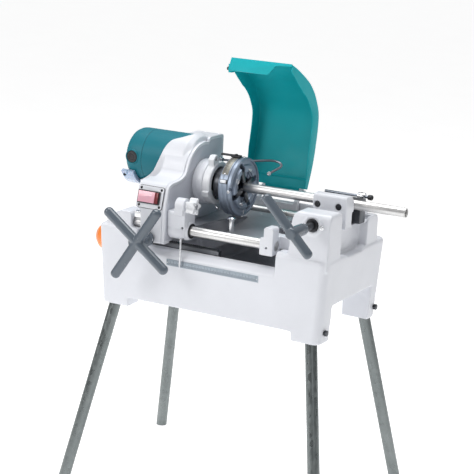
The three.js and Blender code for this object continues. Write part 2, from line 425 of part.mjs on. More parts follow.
// ---------------------------------------------------------------- drive train
const mesh0 = Math.atan2(CL[1] - S[1], CL[0] - S[0]);
const mesh1 = Math.atan2(MOTOR[1] - CL[1], MOTOR[0] - CL[0]);
add('spindle', turnX([[-214, 20], [-214, 25], [-79.5, 25], [-79.5, 46], [-61, 46], [-61, 20], [-214, 20]], ...S, 24), STEEL);
add('spindle_gear', prismX(gearRing(...S, G1, mesh0), -200, -184, [ring(...S, 25.6, 24)]), STEEL);
add('cluster_gear', union(prismX(gearRing(...CL, G2, mesh0 + Math.PI + Math.PI / G2.t), -207, -179), prismX(gearRing(...CL, G3, mesh1), -219, -207), cylX(...CL, 8, -221.5, HOUSE_X1 - 1, 16)), STEEL);
const fan = Array.from({ length: 6 }, (_, i) => {
  const a = (i / 6) * Math.PI * 2;
  const g = new THREE.BoxGeometry(14, 40, 2.5).translate(0, 31, 0).rotateX(a).translate(-247, MOTOR[0], MOTOR[1]);
  return fromGeometry(g);
});
add('armature', union(turnX([[-360.5, 0], [-360.5, 6], [-342, 6], [-342, 17], [-326, 17], [-326, 10], [-320, 10], [-320, 34], [-262, 34], [-262, 9], [-254, 9], [-254, 15], [-240, 15], [-240, 7], [-207, 7], [-207, 0]], ...MOTOR, 16), ...fan), STEEL);
add('motor_pinion', prismX(gearRing(...MOTOR, G4, mesh1 + Math.PI + Math.PI / G4.t), -220, -208, [ring(...MOTOR, 7.3, 20)]), STEEL);

// ---------------------------------------------------------------- die head
const chaserAngles = [20, 110, 200, 290];
const spoke = (a, r0, r1, w, x0, x1) => fromGeometry(new THREE.BoxGeometry(x1 - x0, r1 - r0, w).translate((x0 + x1) / 2, (r0 + r1) / 2, 0).rotateX((a * Math.PI) / 180).translate(0, ...S));
let head = turnX([[-60.7, 30], [-60.7, 52], [-50, 52], [-50, 70], [-14, 70], [-14, HEAD_R], [-3, HEAD_R], [HEAD_X1, HEAD_R - 4], [HEAD_X1, 44], [-6, 40], [-6, 30], [-60.7, 30]], ...S, 28);
head = cut(head, ...chaserAngles.map((a) => spoke(a, 20, 72, 17, -13, 10)));
add('die_head_body', head, BLUED);
add('cam_ring', cut(turnX([[-42, 71], [-42, HEAD_R - 2], [-39, HEAD_R], [-17, HEAD_R], [-14.4, HEAD_R - 2], [-14.4, 71], [-42, 71]], ...S, 28), ...[60, 240].map((a) => spoke(a, 81, 90, 14, -34, -22))), BLUED);
chaserAngles.forEach((a, i) => {
  const tip = fromGeometry(prism([[PIPE_R + 0.5, -4], [22, -8.2], [50, -8.2], [50, 8.2], [22, 8.2], [PIPE_R + 0.5, 4]], -12.6, -0.5).applyMatrix4(TO_X).rotateX((a * Math.PI) / 180).translate(0, ...S));
  add(`chaser_${i + 1}`, tip, DARK);
});
add('head_latch', union(
  fromGeometry(new THREE.BoxGeometry(28, 5.6, 15).translate(-28, 87.3, 0).rotateX((97 * Math.PI) / 180).translate(0, ...S)),
  fromGeometry(new THREE.BoxGeometry(40, 3.8, 11).translate(-56, 88.2, 0).rotateX((97 * Math.PI) / 180).translate(0, ...S)),
), DARK);

// ---------------------------------------------------------------- feed handwheel
const wheelY = -270;
const spokes = [[-274, 627], [-120, 653], [-244, 468], [-94, 494]].map(([x, z]) => {
  const dx = x - WHEEL[0], dz = z - WHEEL[1], L = Math.hypot(dx, dz), k = 127 / L;
  return rod([WHEEL[0], wheelY, WHEEL[1]], [WHEEL[0] + dx * k, wheelY - 6, WHEEL[1] + dz * k], 14.5, 14, 12);
});
add('feed_handwheel', cut(union(...spokes, turnY([[-287, 0], [-287, 14], [-282, 19], [-228, 19], [-226, 22], [-208, 22], [-208, 0]], ...WHEEL, 20)), cylY(...WHEEL, 8.3, -262, -200, 14)), GRIP);
add('feed_shaft', union(cylY(...WHEEL, 8, -261.5, -148, 14), prismY(gearRing(...WHEEL, { m: PINION_M, t: PINION_T }, -Math.PI / 2, 0.42), -167, -151)), STEEL);

// ---------------------------------------------------------------- vise
const handleY = -304;
add('vise_handle', union(
  rod([220, handleY, 757], [364, handleY, 611], 13.6, 14, 10),
  turnY([[-318, 0], [-318, 12], [-315, 15.5], [-290, 16.5], [-246, 16.5], [-242, 14.5], [-236, 14.5], [-236, 0]], ...SCREW, 20),
), GRIP);
// right-hand thread at the front, left-hand thread at the back, drawn at their outside diameter
add('vise_screw', turnY([[-235.7, 0], [-235.7, 10], [-150, 10], [-150, 11.5], [-112, 11.5], [-112, 9], [-8, 9], [-8, 7.5], [8, 7.5], [8, 9], [98, 9], [98, 0]], ...SCREW, 20), STEEL);
const jawV = (s) => [[s * (PIPE_R + 0.15), 690], [s * (PIPE_R + 6), 684], [s * (PIPE_R + 6), 680]];
const frontJaw = cut(union(
  prismX([[-60, 680], [-62, 690], [-62, 722], [-58, 727], [-30, 727], [-20, 716], [-14, 708], [-13.8, 686], [-18, 680]], 244, 346),
  prismX([[-62, 638], [-62, 684], [-24, 684], [-24, 638]], 284, 346),
), cylY(...SCREW, 10.4, -80, 0, 20), cylX(...S, PIPE_R + 0.35, 200, 400, 24));
add('front_jaw', frontJaw, PAINT);
const rearJaw = cut(union(
  prismX([[60, 638], [60, 702], [56, 706], [26, 706], [14, 703], [13.8, 686], [18, 680], [24, 676], [24, 638]], 284, 348),
  prismX([[60, 680], [60, 702], [56, 706], [26, 706], [14, 703], [13.8, 686], [18, 680]], 246, 286),
), cylY(...SCREW, 10.4, 0, 80, 20), cylX(...S, PIPE_R + 0.35, 200, 400, 24));
add('rear_jaw', rearJaw, STEEL);

// ---------------------------------------------------------------- cover
const lidProfile = [[200, 671], [211, 698], [222, 727], [233, 766], [241, 808], [246, 842], [247.5, 875], [243, 900], [231, 925], [211, 955], [184, 982], [155, 1002], [123, 1020], [92, 1036], [62, 1049]];
const offsetIn = (pts, d) => pts.map((p, i) => {
  const a = pts[Math.max(0, i - 1)], b = pts[Math.min(pts.length - 1, i + 1)];
  const tx = b[0] - a[0], tz = b[1] - a[1], L = Math.hypot(tx, tz);
  return [p[0] - (tz / L) * d, p[1] + (tx / L) * d];
});
const LID_X0 = -100, LID_X1 = 99;
const sheet = prismX([...lidProfile, ...offsetIn(lidProfile, 2.4).reverse()], LID_X0, LID_X1);
const depth = lidProfile.map((_, i) => [20, 28, 36][i] ?? (i < 12 ? 44 : [38, 30, 20][i - 12]));
const flangeIn = lidProfile.map((p, i) => offsetIn(lidProfile, depth[i])[i]);
const flange = (a, b) => prismX([...lidProfile, ...flangeIn.slice().reverse()], a, b);
let lid = union(sheet, flange(LID_X0, LID_X0 + 2.4), flange(LID_X1 - 2.4, LID_X1),
  prismX([[200, 671], [203, 668.5], [197, 664], [195.5, 670]], -41, 69),
  cylX(...COVER_HINGE, 9.5, -41, 69, 20), box(-41, 69, 197, 203, 664, 673),
  prismX([[63, 1050.5], [61, 1048], [42.6, 1013.4], [45.2, 1012.4]], LID_X0, 30),
  prismX([[63, 1050.5], [61, 1048], [52, 1031], [54.6, 1030]], 29, 46), prismX([[63, 1050.5], [61, 1048], [57, 1040.4], [59.6, 1039.4]], 45, LID_X1));
lid = cut(lid, cylX(...COVER_HINGE, 4.3, -60, 90, 16));
add('splash_cover', lid, TEAL);
add('cover_hinge_pin', union(cylX(...COVER_HINGE, 4, -58, 86, 14), cylX(...COVER_HINGE, 6.5, 86, 90, 12)), STEEL);

// ---------------------------------------------------------------- work
add('work_pipe', prismX(ring(...S, PIPE_R, 24), PIPE_X0, PIPE_X1, [ring(...S, PIPE_BORE, 16)]), CHROME);

// origin at the middle of the bounding box base
const bounds = new THREE.Box3().setFromObject(machine);
machine.position.set(-(bounds.min.x + bounds.max.x) / 2, -(bounds.min.y + bounds.max.y) / 2, -bounds.min.z);

export default group;
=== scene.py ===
"""Looks for the pipe threading machine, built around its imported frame.

Shapes are made in code in a machine frame in millimetres, with the X axis under the spindle line,
the same frame the CAD pieces are drawn in, and are put down in metres where the frame says.
"""
import math

import bpy
import numpy as np
from mathutils import Matrix, Quaternion, Vector


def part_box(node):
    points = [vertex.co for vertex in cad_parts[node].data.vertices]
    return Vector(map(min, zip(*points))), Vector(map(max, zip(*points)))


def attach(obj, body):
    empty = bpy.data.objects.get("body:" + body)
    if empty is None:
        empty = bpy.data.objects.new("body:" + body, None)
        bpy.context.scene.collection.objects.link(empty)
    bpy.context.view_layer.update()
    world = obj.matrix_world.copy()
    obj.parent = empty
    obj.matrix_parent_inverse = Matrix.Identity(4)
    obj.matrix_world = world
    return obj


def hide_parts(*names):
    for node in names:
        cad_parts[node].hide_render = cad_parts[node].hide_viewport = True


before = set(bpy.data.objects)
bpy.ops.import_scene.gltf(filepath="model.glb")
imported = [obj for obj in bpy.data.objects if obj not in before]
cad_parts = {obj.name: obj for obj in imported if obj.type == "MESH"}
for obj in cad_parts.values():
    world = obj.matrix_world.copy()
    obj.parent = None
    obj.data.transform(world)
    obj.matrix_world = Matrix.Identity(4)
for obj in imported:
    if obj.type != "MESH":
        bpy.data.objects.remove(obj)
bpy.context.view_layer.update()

# machine frame -> row frame, from where the work pipe lies
_lo, _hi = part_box("work_pipe")
OFF = Vector((_lo.x * 1000 + 2.0, (_lo.y + _hi.y) * 500, (_lo.z + _hi.z) * 500 - 697.0))


def at(x, y, z):
    return Vector((x + OFF.x, y + OFF.y, z + OFF.z)) / 1000


# ------------------------------------------------------------------ camera, first of all
def camera():
    az, el, roll = math.radians(28.7), math.radians(13.7), math.radians(-2.79)
    fwd = Vector((-math.sin(az) * math.cos(el), math.cos(az) * math.cos(el), -math.sin(el)))
    right = Vector((math.cos(az), math.sin(az), 0))
    down = fwd.cross(right)
    c, s = math.cos(roll), math.sin(roll)
    r2, d2 = right * c + down * s, down * c - right * s
    data = bpy.data.cameras.new("view")
    data.sensor_width = 36
    data.lens = 1531 / 474 * 36
    data.clip_end = 100
    cam = bpy.data.objects.new("view", data)
    m = Matrix((r2, -d2, -fwd)).transposed().to_4x4()
    m.translation = at(2023.435, -3731.933, 1585.344)
    cam.matrix_world = m
    bpy.context.scene.collection.objects.link(cam)
    bpy.context.scene.camera = cam


camera()

# ------------------------------------------------------------------ solids, in millimetres
scene_col = bpy.context.scene.collection


def mesh(verts, faces):
    me = bpy.data.meshes.new("m")
    me.from_pydata([tuple(map(float, v)) for v in verts], [], [tuple(map(int, f)) for f in faces])
    me.update()
    return me


def outward(me):
    """Turns the faces of a closed mesh outward."""
    vol = 0.0
    me.calc_loop_triangles()
    co = np.empty(len(me.vertices) * 3, np.float32)
    me.vertices.foreach_get("co", co)
    co = co.reshape(-1, 3).astype(float)
    tri = np.empty(len(me.loop_triangles) * 3, np.int32)
    me.loop_triangles.foreach_get("vertices", tri)
    t = tri.reshape(-1, 3)
    vol = np.einsum("ij,ij->i", co[t[:, 0]], np.cross(co[t[:, 1]], co[t[:, 2]])).sum()
    if vol < 0:
        me.flip_normals()
    return me


def modify(me, steps, others=()):
    """Applies modifiers to a mesh and returns the new mesh."""
    ob = bpy.data.objects.new("t", me)
    scene_col.objects.link(ob)
    made = [ob]
    for kind, settings in steps:
        mod = ob.modifiers.new(kind, kind)
        for k, v in settings.items():
            if k == "with":
                o = bpy.data.objects.new("o", v)
                scene_col.objects.link(o)
                made.append(o)
                mod.object = o
            else:
                setattr(mod, k, v)
    dg = bpy.context.evaluated_depsgraph_get()
    out = bpy.data.meshes.new_from_object(ob.evaluated_get(dg))
    for o in made:
        bpy.data.objects.remove(o)
    return out


def boolean(a, items, kind):
    me = modify(a, [("BOOLEAN", {"solver": "MANIFOLD", "operation": kind, "with": b}) for b in items])
    if not len(me.polygons):
        me = modify(a, [("BOOLEAN", {"solver": "EXACT", "operation": kind, "with": b}) for b in items])
    return me


def union(a, *b):
    return boolean(a, b, "UNION")


def cut(a, *b):
    return boolean(a, b, "DIFFERENCE")


def common(a, *b):
    return boolean(a, b, "INTERSECT")


def joined(*parts):
    """Several closed meshes in one, left as they are."""
    verts, faces, n = [], [], 0
    for me in parts:
        verts += [v.co[:] for v in me.vertices]
        faces += [[i + n for i in p.vertices] for p in me.polygons]
        n += len(me.vertices)
    return mesh(verts, faces)


def fillet(pts, r, closed=True, n=4):
    """Rounds the corners of an outline. A point may carry its own radius as a third number."""
    out, count = [], len(pts)
    for i, p in enumerate(pts):
        b = np.array(p[:2], float)
        if not closed and i in (0, count - 1):
            out.append(tuple(b))
            continue
        a, c = np.array(pts[i - 1][:2], float), np.array(pts[(i + 1) % count][:2], float)
        u, v = a - b, c - b
        lu, lv = np.linalg.norm(u), np.linalg.norm(v)
        ri = p[2] if len(p) > 2 else r
        if lu < 1e-9 or lv < 1e-9 or ri <= 0:
            out.append(tuple(b))
            continue
        cosang = float(np.clip(np.dot(u, v) / lu / lv, -1, 1))
        ang = math.acos(cosang)
        if ang > math.radians(172):
            out.append(tuple(b))
            continue
        t = min(ri / math.tan(ang / 2), 0.48 * lu, 0.48 * lv)
        p0, p2 = b + u / lu * t, b + v / lv * t
        for k in range(n + 1):
            s = k / n
            out.append(tuple((1 - s) ** 2 * p0 + 2 * s * (1 - s) * b + s * s * p2))
    return out


def prism(axis, pts, w0, w1):
    """Straight piece along an axis: x takes (y, z) points, y takes (x, z), z takes (x, y)."""
    n = len(pts)
    put = {"x": lambda p, w: (w, p[0], p[1]), "y": lambda p, w: (p[0], w, p[1]), "z": lambda p, w: (p[0], p[1], w)}[axis]
    verts = [put(p, w0) for p in pts] + [put(p, w1) for p in pts]
    faces = [list(range(n)), [n + i for i in reversed(range(n))]]
    faces += [[i, (i + 1) % n, n + (i + 1) % n, n + i][::-1] for i in range(n)]
    return outward(mesh(verts, faces))


def box(x0, x1, y0, y1, z0, z1):
    return prism("z", [(x0, y0), (x1, y0), (x1, y1), (x0, y1)], z0, z1)


def ring_pts(cu, cv, r, n=48, a0=0.0):
    return [(cu + r * math.cos(a0 + i / n * math.tau), cv + r * math.sin(a0 + i / n * math.tau)) for i in range(n)]


def cyl(axis, cu, cv, r, w0, w1, n=64):
    return prism(axis, ring_pts(cu, cv, r, n), w0, w1)


def frame_of(d):
    d = Vector(d).normalized()
    a = Vector((0, 0, 1)) if abs(d.z) < 0.9 else Vector((1, 0, 0))
    u = (a - d * a.dot(d)).normalized()
    return u, d.cross(u), d


def turn(profile, origin, axis=(1, 0, 0), n=96, closed=False):
    """Turned piece. profile holds (t, r) along the axis from origin; an open profile starts and ends on the axis."""
    u, v, d = frame_of(axis)
    o = Vector(origin)
    verts, rows = [], []
    for t, r in profile:
        if r < 1e-6 and not closed:
            rows.append([len(verts)] * n)
            verts.append(o + d * t)
        else:
            rows.append([len(verts) + i for i in range(n)])
            for i in range(n):
                a = i / n * math.tau
                verts.append(o + d * t + (u * math.cos(a) + v * math.sin(a)) * r)
    faces = []
    pairs = list(zip(rows, rows[1:])) + ([(rows[-1], rows[0])] if closed else [])
    for p, q in pairs:
        for i in range(n):
            j = (i + 1) % n
            f = []
            for k in (p[i], p[j], q[j], q[i]):
                if k not in f:
                    f.append(k)
            if len(f) > 2:
                faces.append(f)
    return outward(mesh(verts, faces))


def turn_x(profile, y, z, r=0.8, n=96, closed=False, segs=3):
    return turn(fillet(profile, r, closed, segs), (0, y, z), (1, 0, 0), n, closed)


def turn_y(profile, x, z, r=0.8, n=96, closed=False, segs=3):
    return turn(fillet(profile, r, closed, segs), (x, 0, z), (0, 1, 0), n, closed)


def rod(a, b, r, n=64, dome=0.0):
    A, B = Vector(a), Vector(b)
    L = (B - A).length
    if dome:
        p = [(dome * (1 - math.cos(k / 8 * math.pi / 2)), r * math.sin(k / 8 * math.pi / 2)) for k in range(9)]
        p += [(L - t, q) for t, q in reversed(p)]
    else:
        p = fillet([(0, 0), (0, r), (L, r), (L, 0)], min(0.8, r * 0.2), False, 2)
    return turn(p, A, B - A, n)


def loft(rings):
    n = len(rings[0])
    verts = [p for r in rings for p in r]
    faces = [[k * n + i, k * n + (i + 1) % n, (k + 1) * n + (i + 1) % n, (k + 1) * n + i] for k in range(len(rings) - 1) for i in range(n)]
    faces += [list(range(n))[::-1], [(len(rings) - 1) * n + i for i in range(n)]]
    return outward(mesh(verts, faces))


def round_rect(hx, hy, radius, z, cx=0.0, cy=0.0, n=8):
    out = []
    for k, (sx, sy, a0) in enumerate(((1, 1, 0), (-1, 1, 90), (-1, -1, 180), (1, -1, 270))):
        r = radius[k] if isinstance(radius, tuple) else radius
        for i in range(n + 1):
            a = math.radians(a0 + 90 * i / n)
            out.append((cx + sx * (hx - r) + r * math.cos(a), cy + sy * (hy - r) + r * math.sin(a), z))
    return out


def sweep(path, r, n=20, dome=True):
    """Tube along a smooth path through the points."""
    P = [Vector(p) for p in path]
    pts = []
    for i in range(len(P) - 1):
        p0, p1, p2, p3 = P[max(i - 1, 0)], P[i], P[i + 1], P[min(i + 2, len(P) - 1)]
        for k in range(8):
            t = k / 8
            pts.append(0.5 * ((2 * p1) + (p2 - p0) * t + (2 * p0 - 5 * p1 + 4 * p2 - p3) * t * t + (3 * p1 - p0 - 3 * p2 + p3) * t ** 3))
    pts.append(P[-1])
    u, _, d = frame_of(pts[1] - pts[0])
    verts, rings = [], []
    for i, p in enumerate(pts):
        d2 = (pts[min(i + 1, len(pts) - 1)] - pts[max(i - 1, 0)]).normalized()
        u = (u - d2 * u.dot(d2)).normalized()
        v = d2.cross(u)
        rings.append([tuple(p + (u * math.cos(a) + v * math.sin(a)) * r) for a in (k / n * math.tau for k in range(n))])
    return loft(rings)


def spline(points, per=6):
    P = [Vector((p[0], p[1])) for p in points]
    out = []
    for i in range(len(P) - 1):
        p0, p1, p2, p3 = P[max(i - 1, 0)], P[i], P[i + 1], P[min(i + 2, len(P) - 1)]
        for k in range(per):
            t = k / per
            out.append(0.5 * ((2 * p1) + (p2 - p0) * t + (2 * p0 - 5 * p1 + 4 * p2 - p3) * t * t + (3 * p1 - p0 - 3 * p2 + p3) * t ** 3))
    out.append(P[-1])
    return out


def turned(me, deg, origin=(0, 0, 697), axis=(1, 0, 0)):
    """A copy of the mesh turned about a line."""
    me = me.copy()
    m = Matrix.Translation(origin) @ Matrix.Rotation(math.radians(deg), 4, Vector(axis)) @ Matrix.Translation(-Vector(origin))
    me.transform(m)
    return me


def moved(me, x=0, y=0, z=0):
    me = me.copy()
    me.transform(Matrix.Translation((x, y, z)))
    return me


def bevel(me, w=1.0, n=3, angle=28):
    """Real rounded edges on a cut or extruded piece."""
    return modify(me, [
        ("WELD", {"merge_threshold": 0.01}),
        ("DECIMATE", {"decimate_type": "DISSOLVE", "angle_limit": math.radians(0.5)}),
        ("BEVEL", {"width": w, "segments": n, "limit_method": "ANGLE", "angle_limit": math.radians(angle), "use_clamp_overlap": True, "miter_outer": "MITER_ARC"}),
    ])


def cast(me, voxel=2.0, smooth=8, keep=0.3):
    """Soft edges and blended corners, as sand casting and enamel leave them."""
    steps = [("REMESH", {"mode": "VOXEL", "voxel_size": voxel}),
             ("SMOOTH", {"factor": 0.6, "iterations": smooth})]
    if keep < 1:
        steps.append(("DECIMATE", {"ratio": keep}))
    return modify(me, steps)


PIECES = {}


def put(name, me, body, mat, stands_for=(), slot=None, sharp=35):
    """Puts a piece down in metres, hangs it on its body and hides the CAD pieces it stands for."""
    me.transform(Matrix.Scale(0.001, 4) @ Matrix.Translation(OFF))
    me.name = name
    me.materials.clear()
    me.materials.append(mat)
    me.polygons.foreach_set("use_smooth", [True] * len(me.polygons))
    me.polygons.foreach_set("material_index", [0] * len(me.polygons))
    if sharp:
        me.set_sharp_from_angle(angle=math.radians(sharp))
    ob = bpy.data.objects.new(name, me)
    scene_col.objects.link(ob)
    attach(ob, body)
    if stands_for:
        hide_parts(*([stands_for] if isinstance(stands_for, str) else stands_for))
    PIECES[name] = ob
    return ob


# ------------------------------------------------------------------ materials
class Mat:
    def __init__(self, name):
        self.m = bpy.data.materials.new(name)
        self.m.use_nodes = True
        self.t = self.m.node_tree
        self.t.nodes.clear()
        self.out = self.t.nodes.new("ShaderNodeOutputMaterial")
        self.b = self.t.nodes.new("ShaderNodeBsdfPrincipled")
        self.t.links.new(self.b.outputs[0], self.out.inputs[0])
        self.co = self.t.nodes.new("ShaderNodeTexCoord").outputs["Object"]
        self.geo = self.t.nodes.new("ShaderNodeNewGeometry")
        self.last = None

    def put(self, sock, v):
        if hasattr(v, "is_linked") or hasattr(v, "links"):
            self.t.links.new(v, sock)
        elif isinstance(v, (tuple, list)) and len(v) == 3 and sock.type == "RGBA":
            sock.default_value = (*v, 1)
        else:
            sock.default_value = v

    def node(self, kind, ins=None, **props):
        n = self.t.nodes.new(kind)
        for k, v in props.items():
            setattr(n, k, v)
        for k, v in (ins or {}).items():
            self.put(n.inputs[k], v)
        return n

    def scaled(self, x, y, z, vec=None):
        return self.node("ShaderNodeMapping", {"Vector": vec or self.co, "Scale": (x, y, z)}).outputs[0]

    def noise(self, scale, detail=3.0, rough=0.5, vec=None, distort=0.0):
        return self.node("ShaderNodeTexNoise", {"Vector": vec or self.co, "Scale": scale, "Detail": detail, "Roughness": rough, "Distortion": distort}).outputs["Fac"]

    def span(self, v, a, b, lo=0.0, hi=1.0):
        return self.node("ShaderNodeMapRange", {"Value": v, "From Min": a, "From Max": b, "To Min": lo, "To Max": hi}).outputs["Result"]

    def mix(self, f, a, b, blend="MIX"):
        n = self.node("ShaderNodeMix", data_type="RGBA", blend_type=blend)
        self.put(n.inputs[0], f)
        self.put(n.inputs[6], a)
        self.put(n.inputs[7], b)
        return n.outputs[2]

    def math(self, op, a, b=0.0):
        n = self.node("ShaderNodeMath", operation=op)
        self.put(n.inputs[0], a)
        self.put(n.inputs[1], b)
        return n.outputs[0]

    def bump(self, h, dist, strength=1.0):
        ins = {"Height": h, "Distance": dist, "Strength": strength}
        if self.last is not None:
            ins["Normal"] = self.last
        self.last = self.node("ShaderNodeBump", ins).outputs[0]
        return self.last

    def edges(self, a=0.53, b=0.62):
        return self.span(self.geo.outputs["Pointiness"], a, b)

    def hollows(self, a=0.48, b=0.38):
        return self.span(self.geo.outputs["Pointiness"], a, b)

    def done(self, color, rough, metal=0.0, **more):
        self.put(self.b.inputs["Base Color"], color)
        self.put(self.b.inputs["Roughness"], rough)
        self.put(self.b.inputs["Metallic"], metal)
        for k, v in more.items():
            self.put(self.b.inputs[k.replace("_", " ")], v)
        if self.last is not None:
            self.put(self.b.inputs["Normal"], self.last)
        return self.m


def tone(c, k):
    return tuple(min(1.0, x * k) for x in c)


def enamel(name, color, rough=0.34, cast_bump=0.35, coat=0.25, edge=0.25, hollow_shade=0.35, peel=700, spec=0.5):
    m = Mat(name)
    broad = m.noise(5, 4, 0.55)
    col = m.mix(m.span(broad, 0.3, 0.7), tone(color, 0.955), tone(color, 1.03))
    cloud = m.noise(38, 5, 0.6)
    col = m.mix(m.span(cloud, 0.55, 0.8, 0, 0.25), col, tone(color, 0.93))
    # lighter along convex edges: partly paint worn to primer, partly a painted highlight
    e = m.math("MULTIPLY", m.edges(), m.span(m.noise(150, 4), 0.35, 0.65))
    col = m.mix(m.math("MULTIPLY", e, edge), col, tone(color, 1.18))
    # painted shade: concave hollows are darkened towards a dark grey-brown, broken up by noise
    d = m.math("MULTIPLY", m.hollows(), m.span(m.noise(45, 5), 0.25, 0.7))
    col = m.mix(m.math("MULTIPLY", d, hollow_shade), col, (0.16, 0.155, 0.15))
    m.bump(cloud, 0.0009, cast_bump)
    m.bump(m.noise(peel, 2), 0.00012, 0.35)
    r = m.math("ADD", m.span(m.noise(22, 5), 0.3, 0.75, rough - 0.05, rough + 0.09), m.math("MULTIPLY", d, 0.2))
    return m.done(col, r, 0.0, Coat_Weight=coat, Coat_Roughness=0.18, Specular_IOR_Level=spec)


def steel(name, color, rough=0.28, metal=1.0, grain=(1, 1, 1), grain_scale=900, grain_depth=0.00003, stain=0.25, edge=0.3):
    m = Mat(name)
    g = m.noise(grain_scale, 3, 0.6, m.scaled(*grain))
    broad = m.noise(14, 5, 0.6)
    col = m.mix(m.span(g, 0.3, 0.7), tone(color, 0.86), tone(color, 1.08))
    col = m.mix(m.span(broad, 0.5, 0.8, 0, stain), col, tone(color, 0.62))
    col = m.mix(m.math("MULTIPLY", m.edges(0.54, 0.64), edge), col, tone(color, 1.5))
    m.bump(g, grain_depth, 0.6)
    r = m.math("ADD", m.span(broad, 0.3, 0.75, rough - 0.06, rough + 0.1), m.span(g, 0.2, 0.8, -0.04, 0.05))
    return m.done(col, r, metal)


def galvanised(name, color=(0.19, 0.21, 0.21)):
    m = Mat(name)
    wob = m.noise(60, 2)
    cells = m.node("ShaderNodeTexVoronoi", {"Vector": m.scaled(1, 1, 0.6), "Scale": 120.0, "Randomness": 1.0})
    sp = m.node("ShaderNodeSeparateColor", {"Color": cells.outputs["Color"]}).outputs[0]
    col = m.mix(sp, tone(color, 0.90), tone(color, 1.10))
    col = m.mix(m.span(m.noise(9, 6, 0.65), 0.48, 0.72, 0, 0.16), col, (0.50, 0.52, 0.52))
    col = m.mix(m.span(m.noise(26, 6, 0.7), 0.6, 0.76, 0, 0.2), col, (0.14, 0.15, 0.15))
    m.bump(m.noise(260, 3), 0.00012, 0.5)
    m.bump(wob, 0.0008, 0.25)
    return m.done(col, m.span(sp, 0, 1, 0.24, 0.42), 0.95)


def plastic(name, color, rough=0.35, coat=0.0, trans=0.0, sub=0.0, grit=1400, depth=0.00003):
    m = Mat(name)
    col = m.mix(m.span(m.noise(18, 4), 0.3, 0.7), tone(color, 0.93), tone(color, 1.06))
    # lighter along convex edges: a painted highlight
    col = m.mix(m.math("MULTIPLY", m.edges(), 0.2), col, tone(color, 1.35))
    g = m.noise(grit, 2)
    m.bump(g, depth, 0.6)
    more = {"Coat_Weight": coat}
    if trans:
        more["Transmission_Weight"] = trans
    if sub:
        more["Subsurface_Weight"] = sub
        more["Subsurface_Radius"] = (0.004, 0.002, 0.002)
        more["Subsurface_Scale"] = 1.0
    return m.done(col, m.span(m.noise(40, 4), 0.3, 0.7, rough - 0.05, rough + 0.07), 0.0, **more)


PAINT = enamel("casting_enamel", (0.70, 0.715, 0.76), rough=0.36)
# darker copy of the casting paint for the face turned away from the key light: painted shade
SHADE = enamel("face_painted_shade_enamel", (0.50, 0.515, 0.57), rough=0.4)
TEAL = enamel("motor_teal_enamel", (0.012, 0.165, 0.21), rough=0.42, cast_bump=0.1, coat=0.0, edge=0.15, hollow_shade=0.3, spec=0.22)
COVER = enamel("cover_teal_enamel", (0.004, 0.37, 0.41), rough=0.46, cast_bump=0.05, coat=0.0, edge=0.12, hollow_shade=0.25, peel=500, spec=0.2)
GRIP = enamel("slate_enamel", (0.085, 0.108, 0.135), rough=0.22, cast_bump=0.1, coat=0.5, edge=0.3, hollow_shade=0.3, peel=600)
GALV = galvanised("galvanised_pipe")
CHROME = steel("ground_bar", (0.66, 0.655, 0.65), rough=0.34, grain=(30, 1, 1), grain_scale=60, grain_depth=0.0, stain=0.15, edge=0.0)
DULL = steel("dull_rod", (0.23, 0.25, 0.285), rough=0.3, grain_depth=0.0, edge=0.0)
DARKSTEEL = steel("oiled_black_steel", (0.085, 0.09, 0.10), rough=0.34, metal=0.9, edge=0.7)
STEEL = steel("machined_steel", (0.60, 0.61, 0.63), rough=0.26)
BRIGHT = steel("bright_steel", (0.78, 0.79, 0.81), rough=0.16, stain=0.1)
TURNED = steel("turned_steel", (0.50, 0.52, 0.55), rough=0.3, grain=(9, 1, 1), grain_scale=260, grain_depth=0.00004)
BLUED = steel("blued_steel", (0.30, 0.35, 0.43), rough=0.43, metal=0.9, grain=(14, 1, 1), grain_scale=180, grain_depth=0.00005, stain=0.45, edge=0.9)
TOOLED = steel("die_steel", (0.10, 0.105, 0.115), rough=0.3, metal=0.95, stain=0.4, edge=0.9)
TRAYGREY = steel("oiled_sheet", (0.38, 0.39, 0.425), rough=0.4, metal=0.6, grain=(1, 14, 1), grain_scale=120, stain=0.4)
BLACK = plastic("black_parts", (0.022, 0.023, 0.026), rough=0.36)
OXIDE = steel("black_oxide", (0.045, 0.046, 0.05), rough=0.38, metal=0.8, edge=0.6)
ORANGE = plastic("orange_plastic", (0.86, 0.235, 0.035), rough=0.3, coat=0.3, sub=0.15)
ROCKER = plastic("rocker_plastic", (0.80, 0.42, 0.50), rough=0.18, coat=0.6, sub=0.3)
DARKRED = plastic("rocker_end", (0.16, 0.02, 0.025), rough=0.2, coat=0.5)
SADDLE = plastic("saddle_plastic", (0.42, 0.53, 0.70), rough=0.22, coat=0.4, sub=0.2)
KNOB = enamel("knob_enamel", (0.76, 0.775, 0.80), rough=0.3, cast_bump=0.3)
BRASS = steel("graduated_plate", (0.24, 0.235, 0.21), rough=0.45, metal=0.8, stain=0.3)
GROOVE = plastic("shadow_gap", (0.035, 0.037, 0.042), rough=0.7)

# ------------------------------------------------------------------ base and stand
SCREW = (308.0, 668.0)
BAR_F, BAR_B, BAR_R = (-160.0, 586.0), (150.0, 600.0), 14.5


def half(z):
    t = (z - 340) / 234
    return 347 + 14 * t, 190 + 7 * t


def section(z, inset, r=(34, 12, 10, 24)):
    hx, hy = half(z)
    return round_rect(hx - inset, hy - inset, tuple(max(5, q - inset) for q in r), z, n=12)


def leg_at(sx, sy, z):
    return (sx * (315 + 0.183 * (345 - z)), sy * (168 + 0.190 * (345 - z)), z)


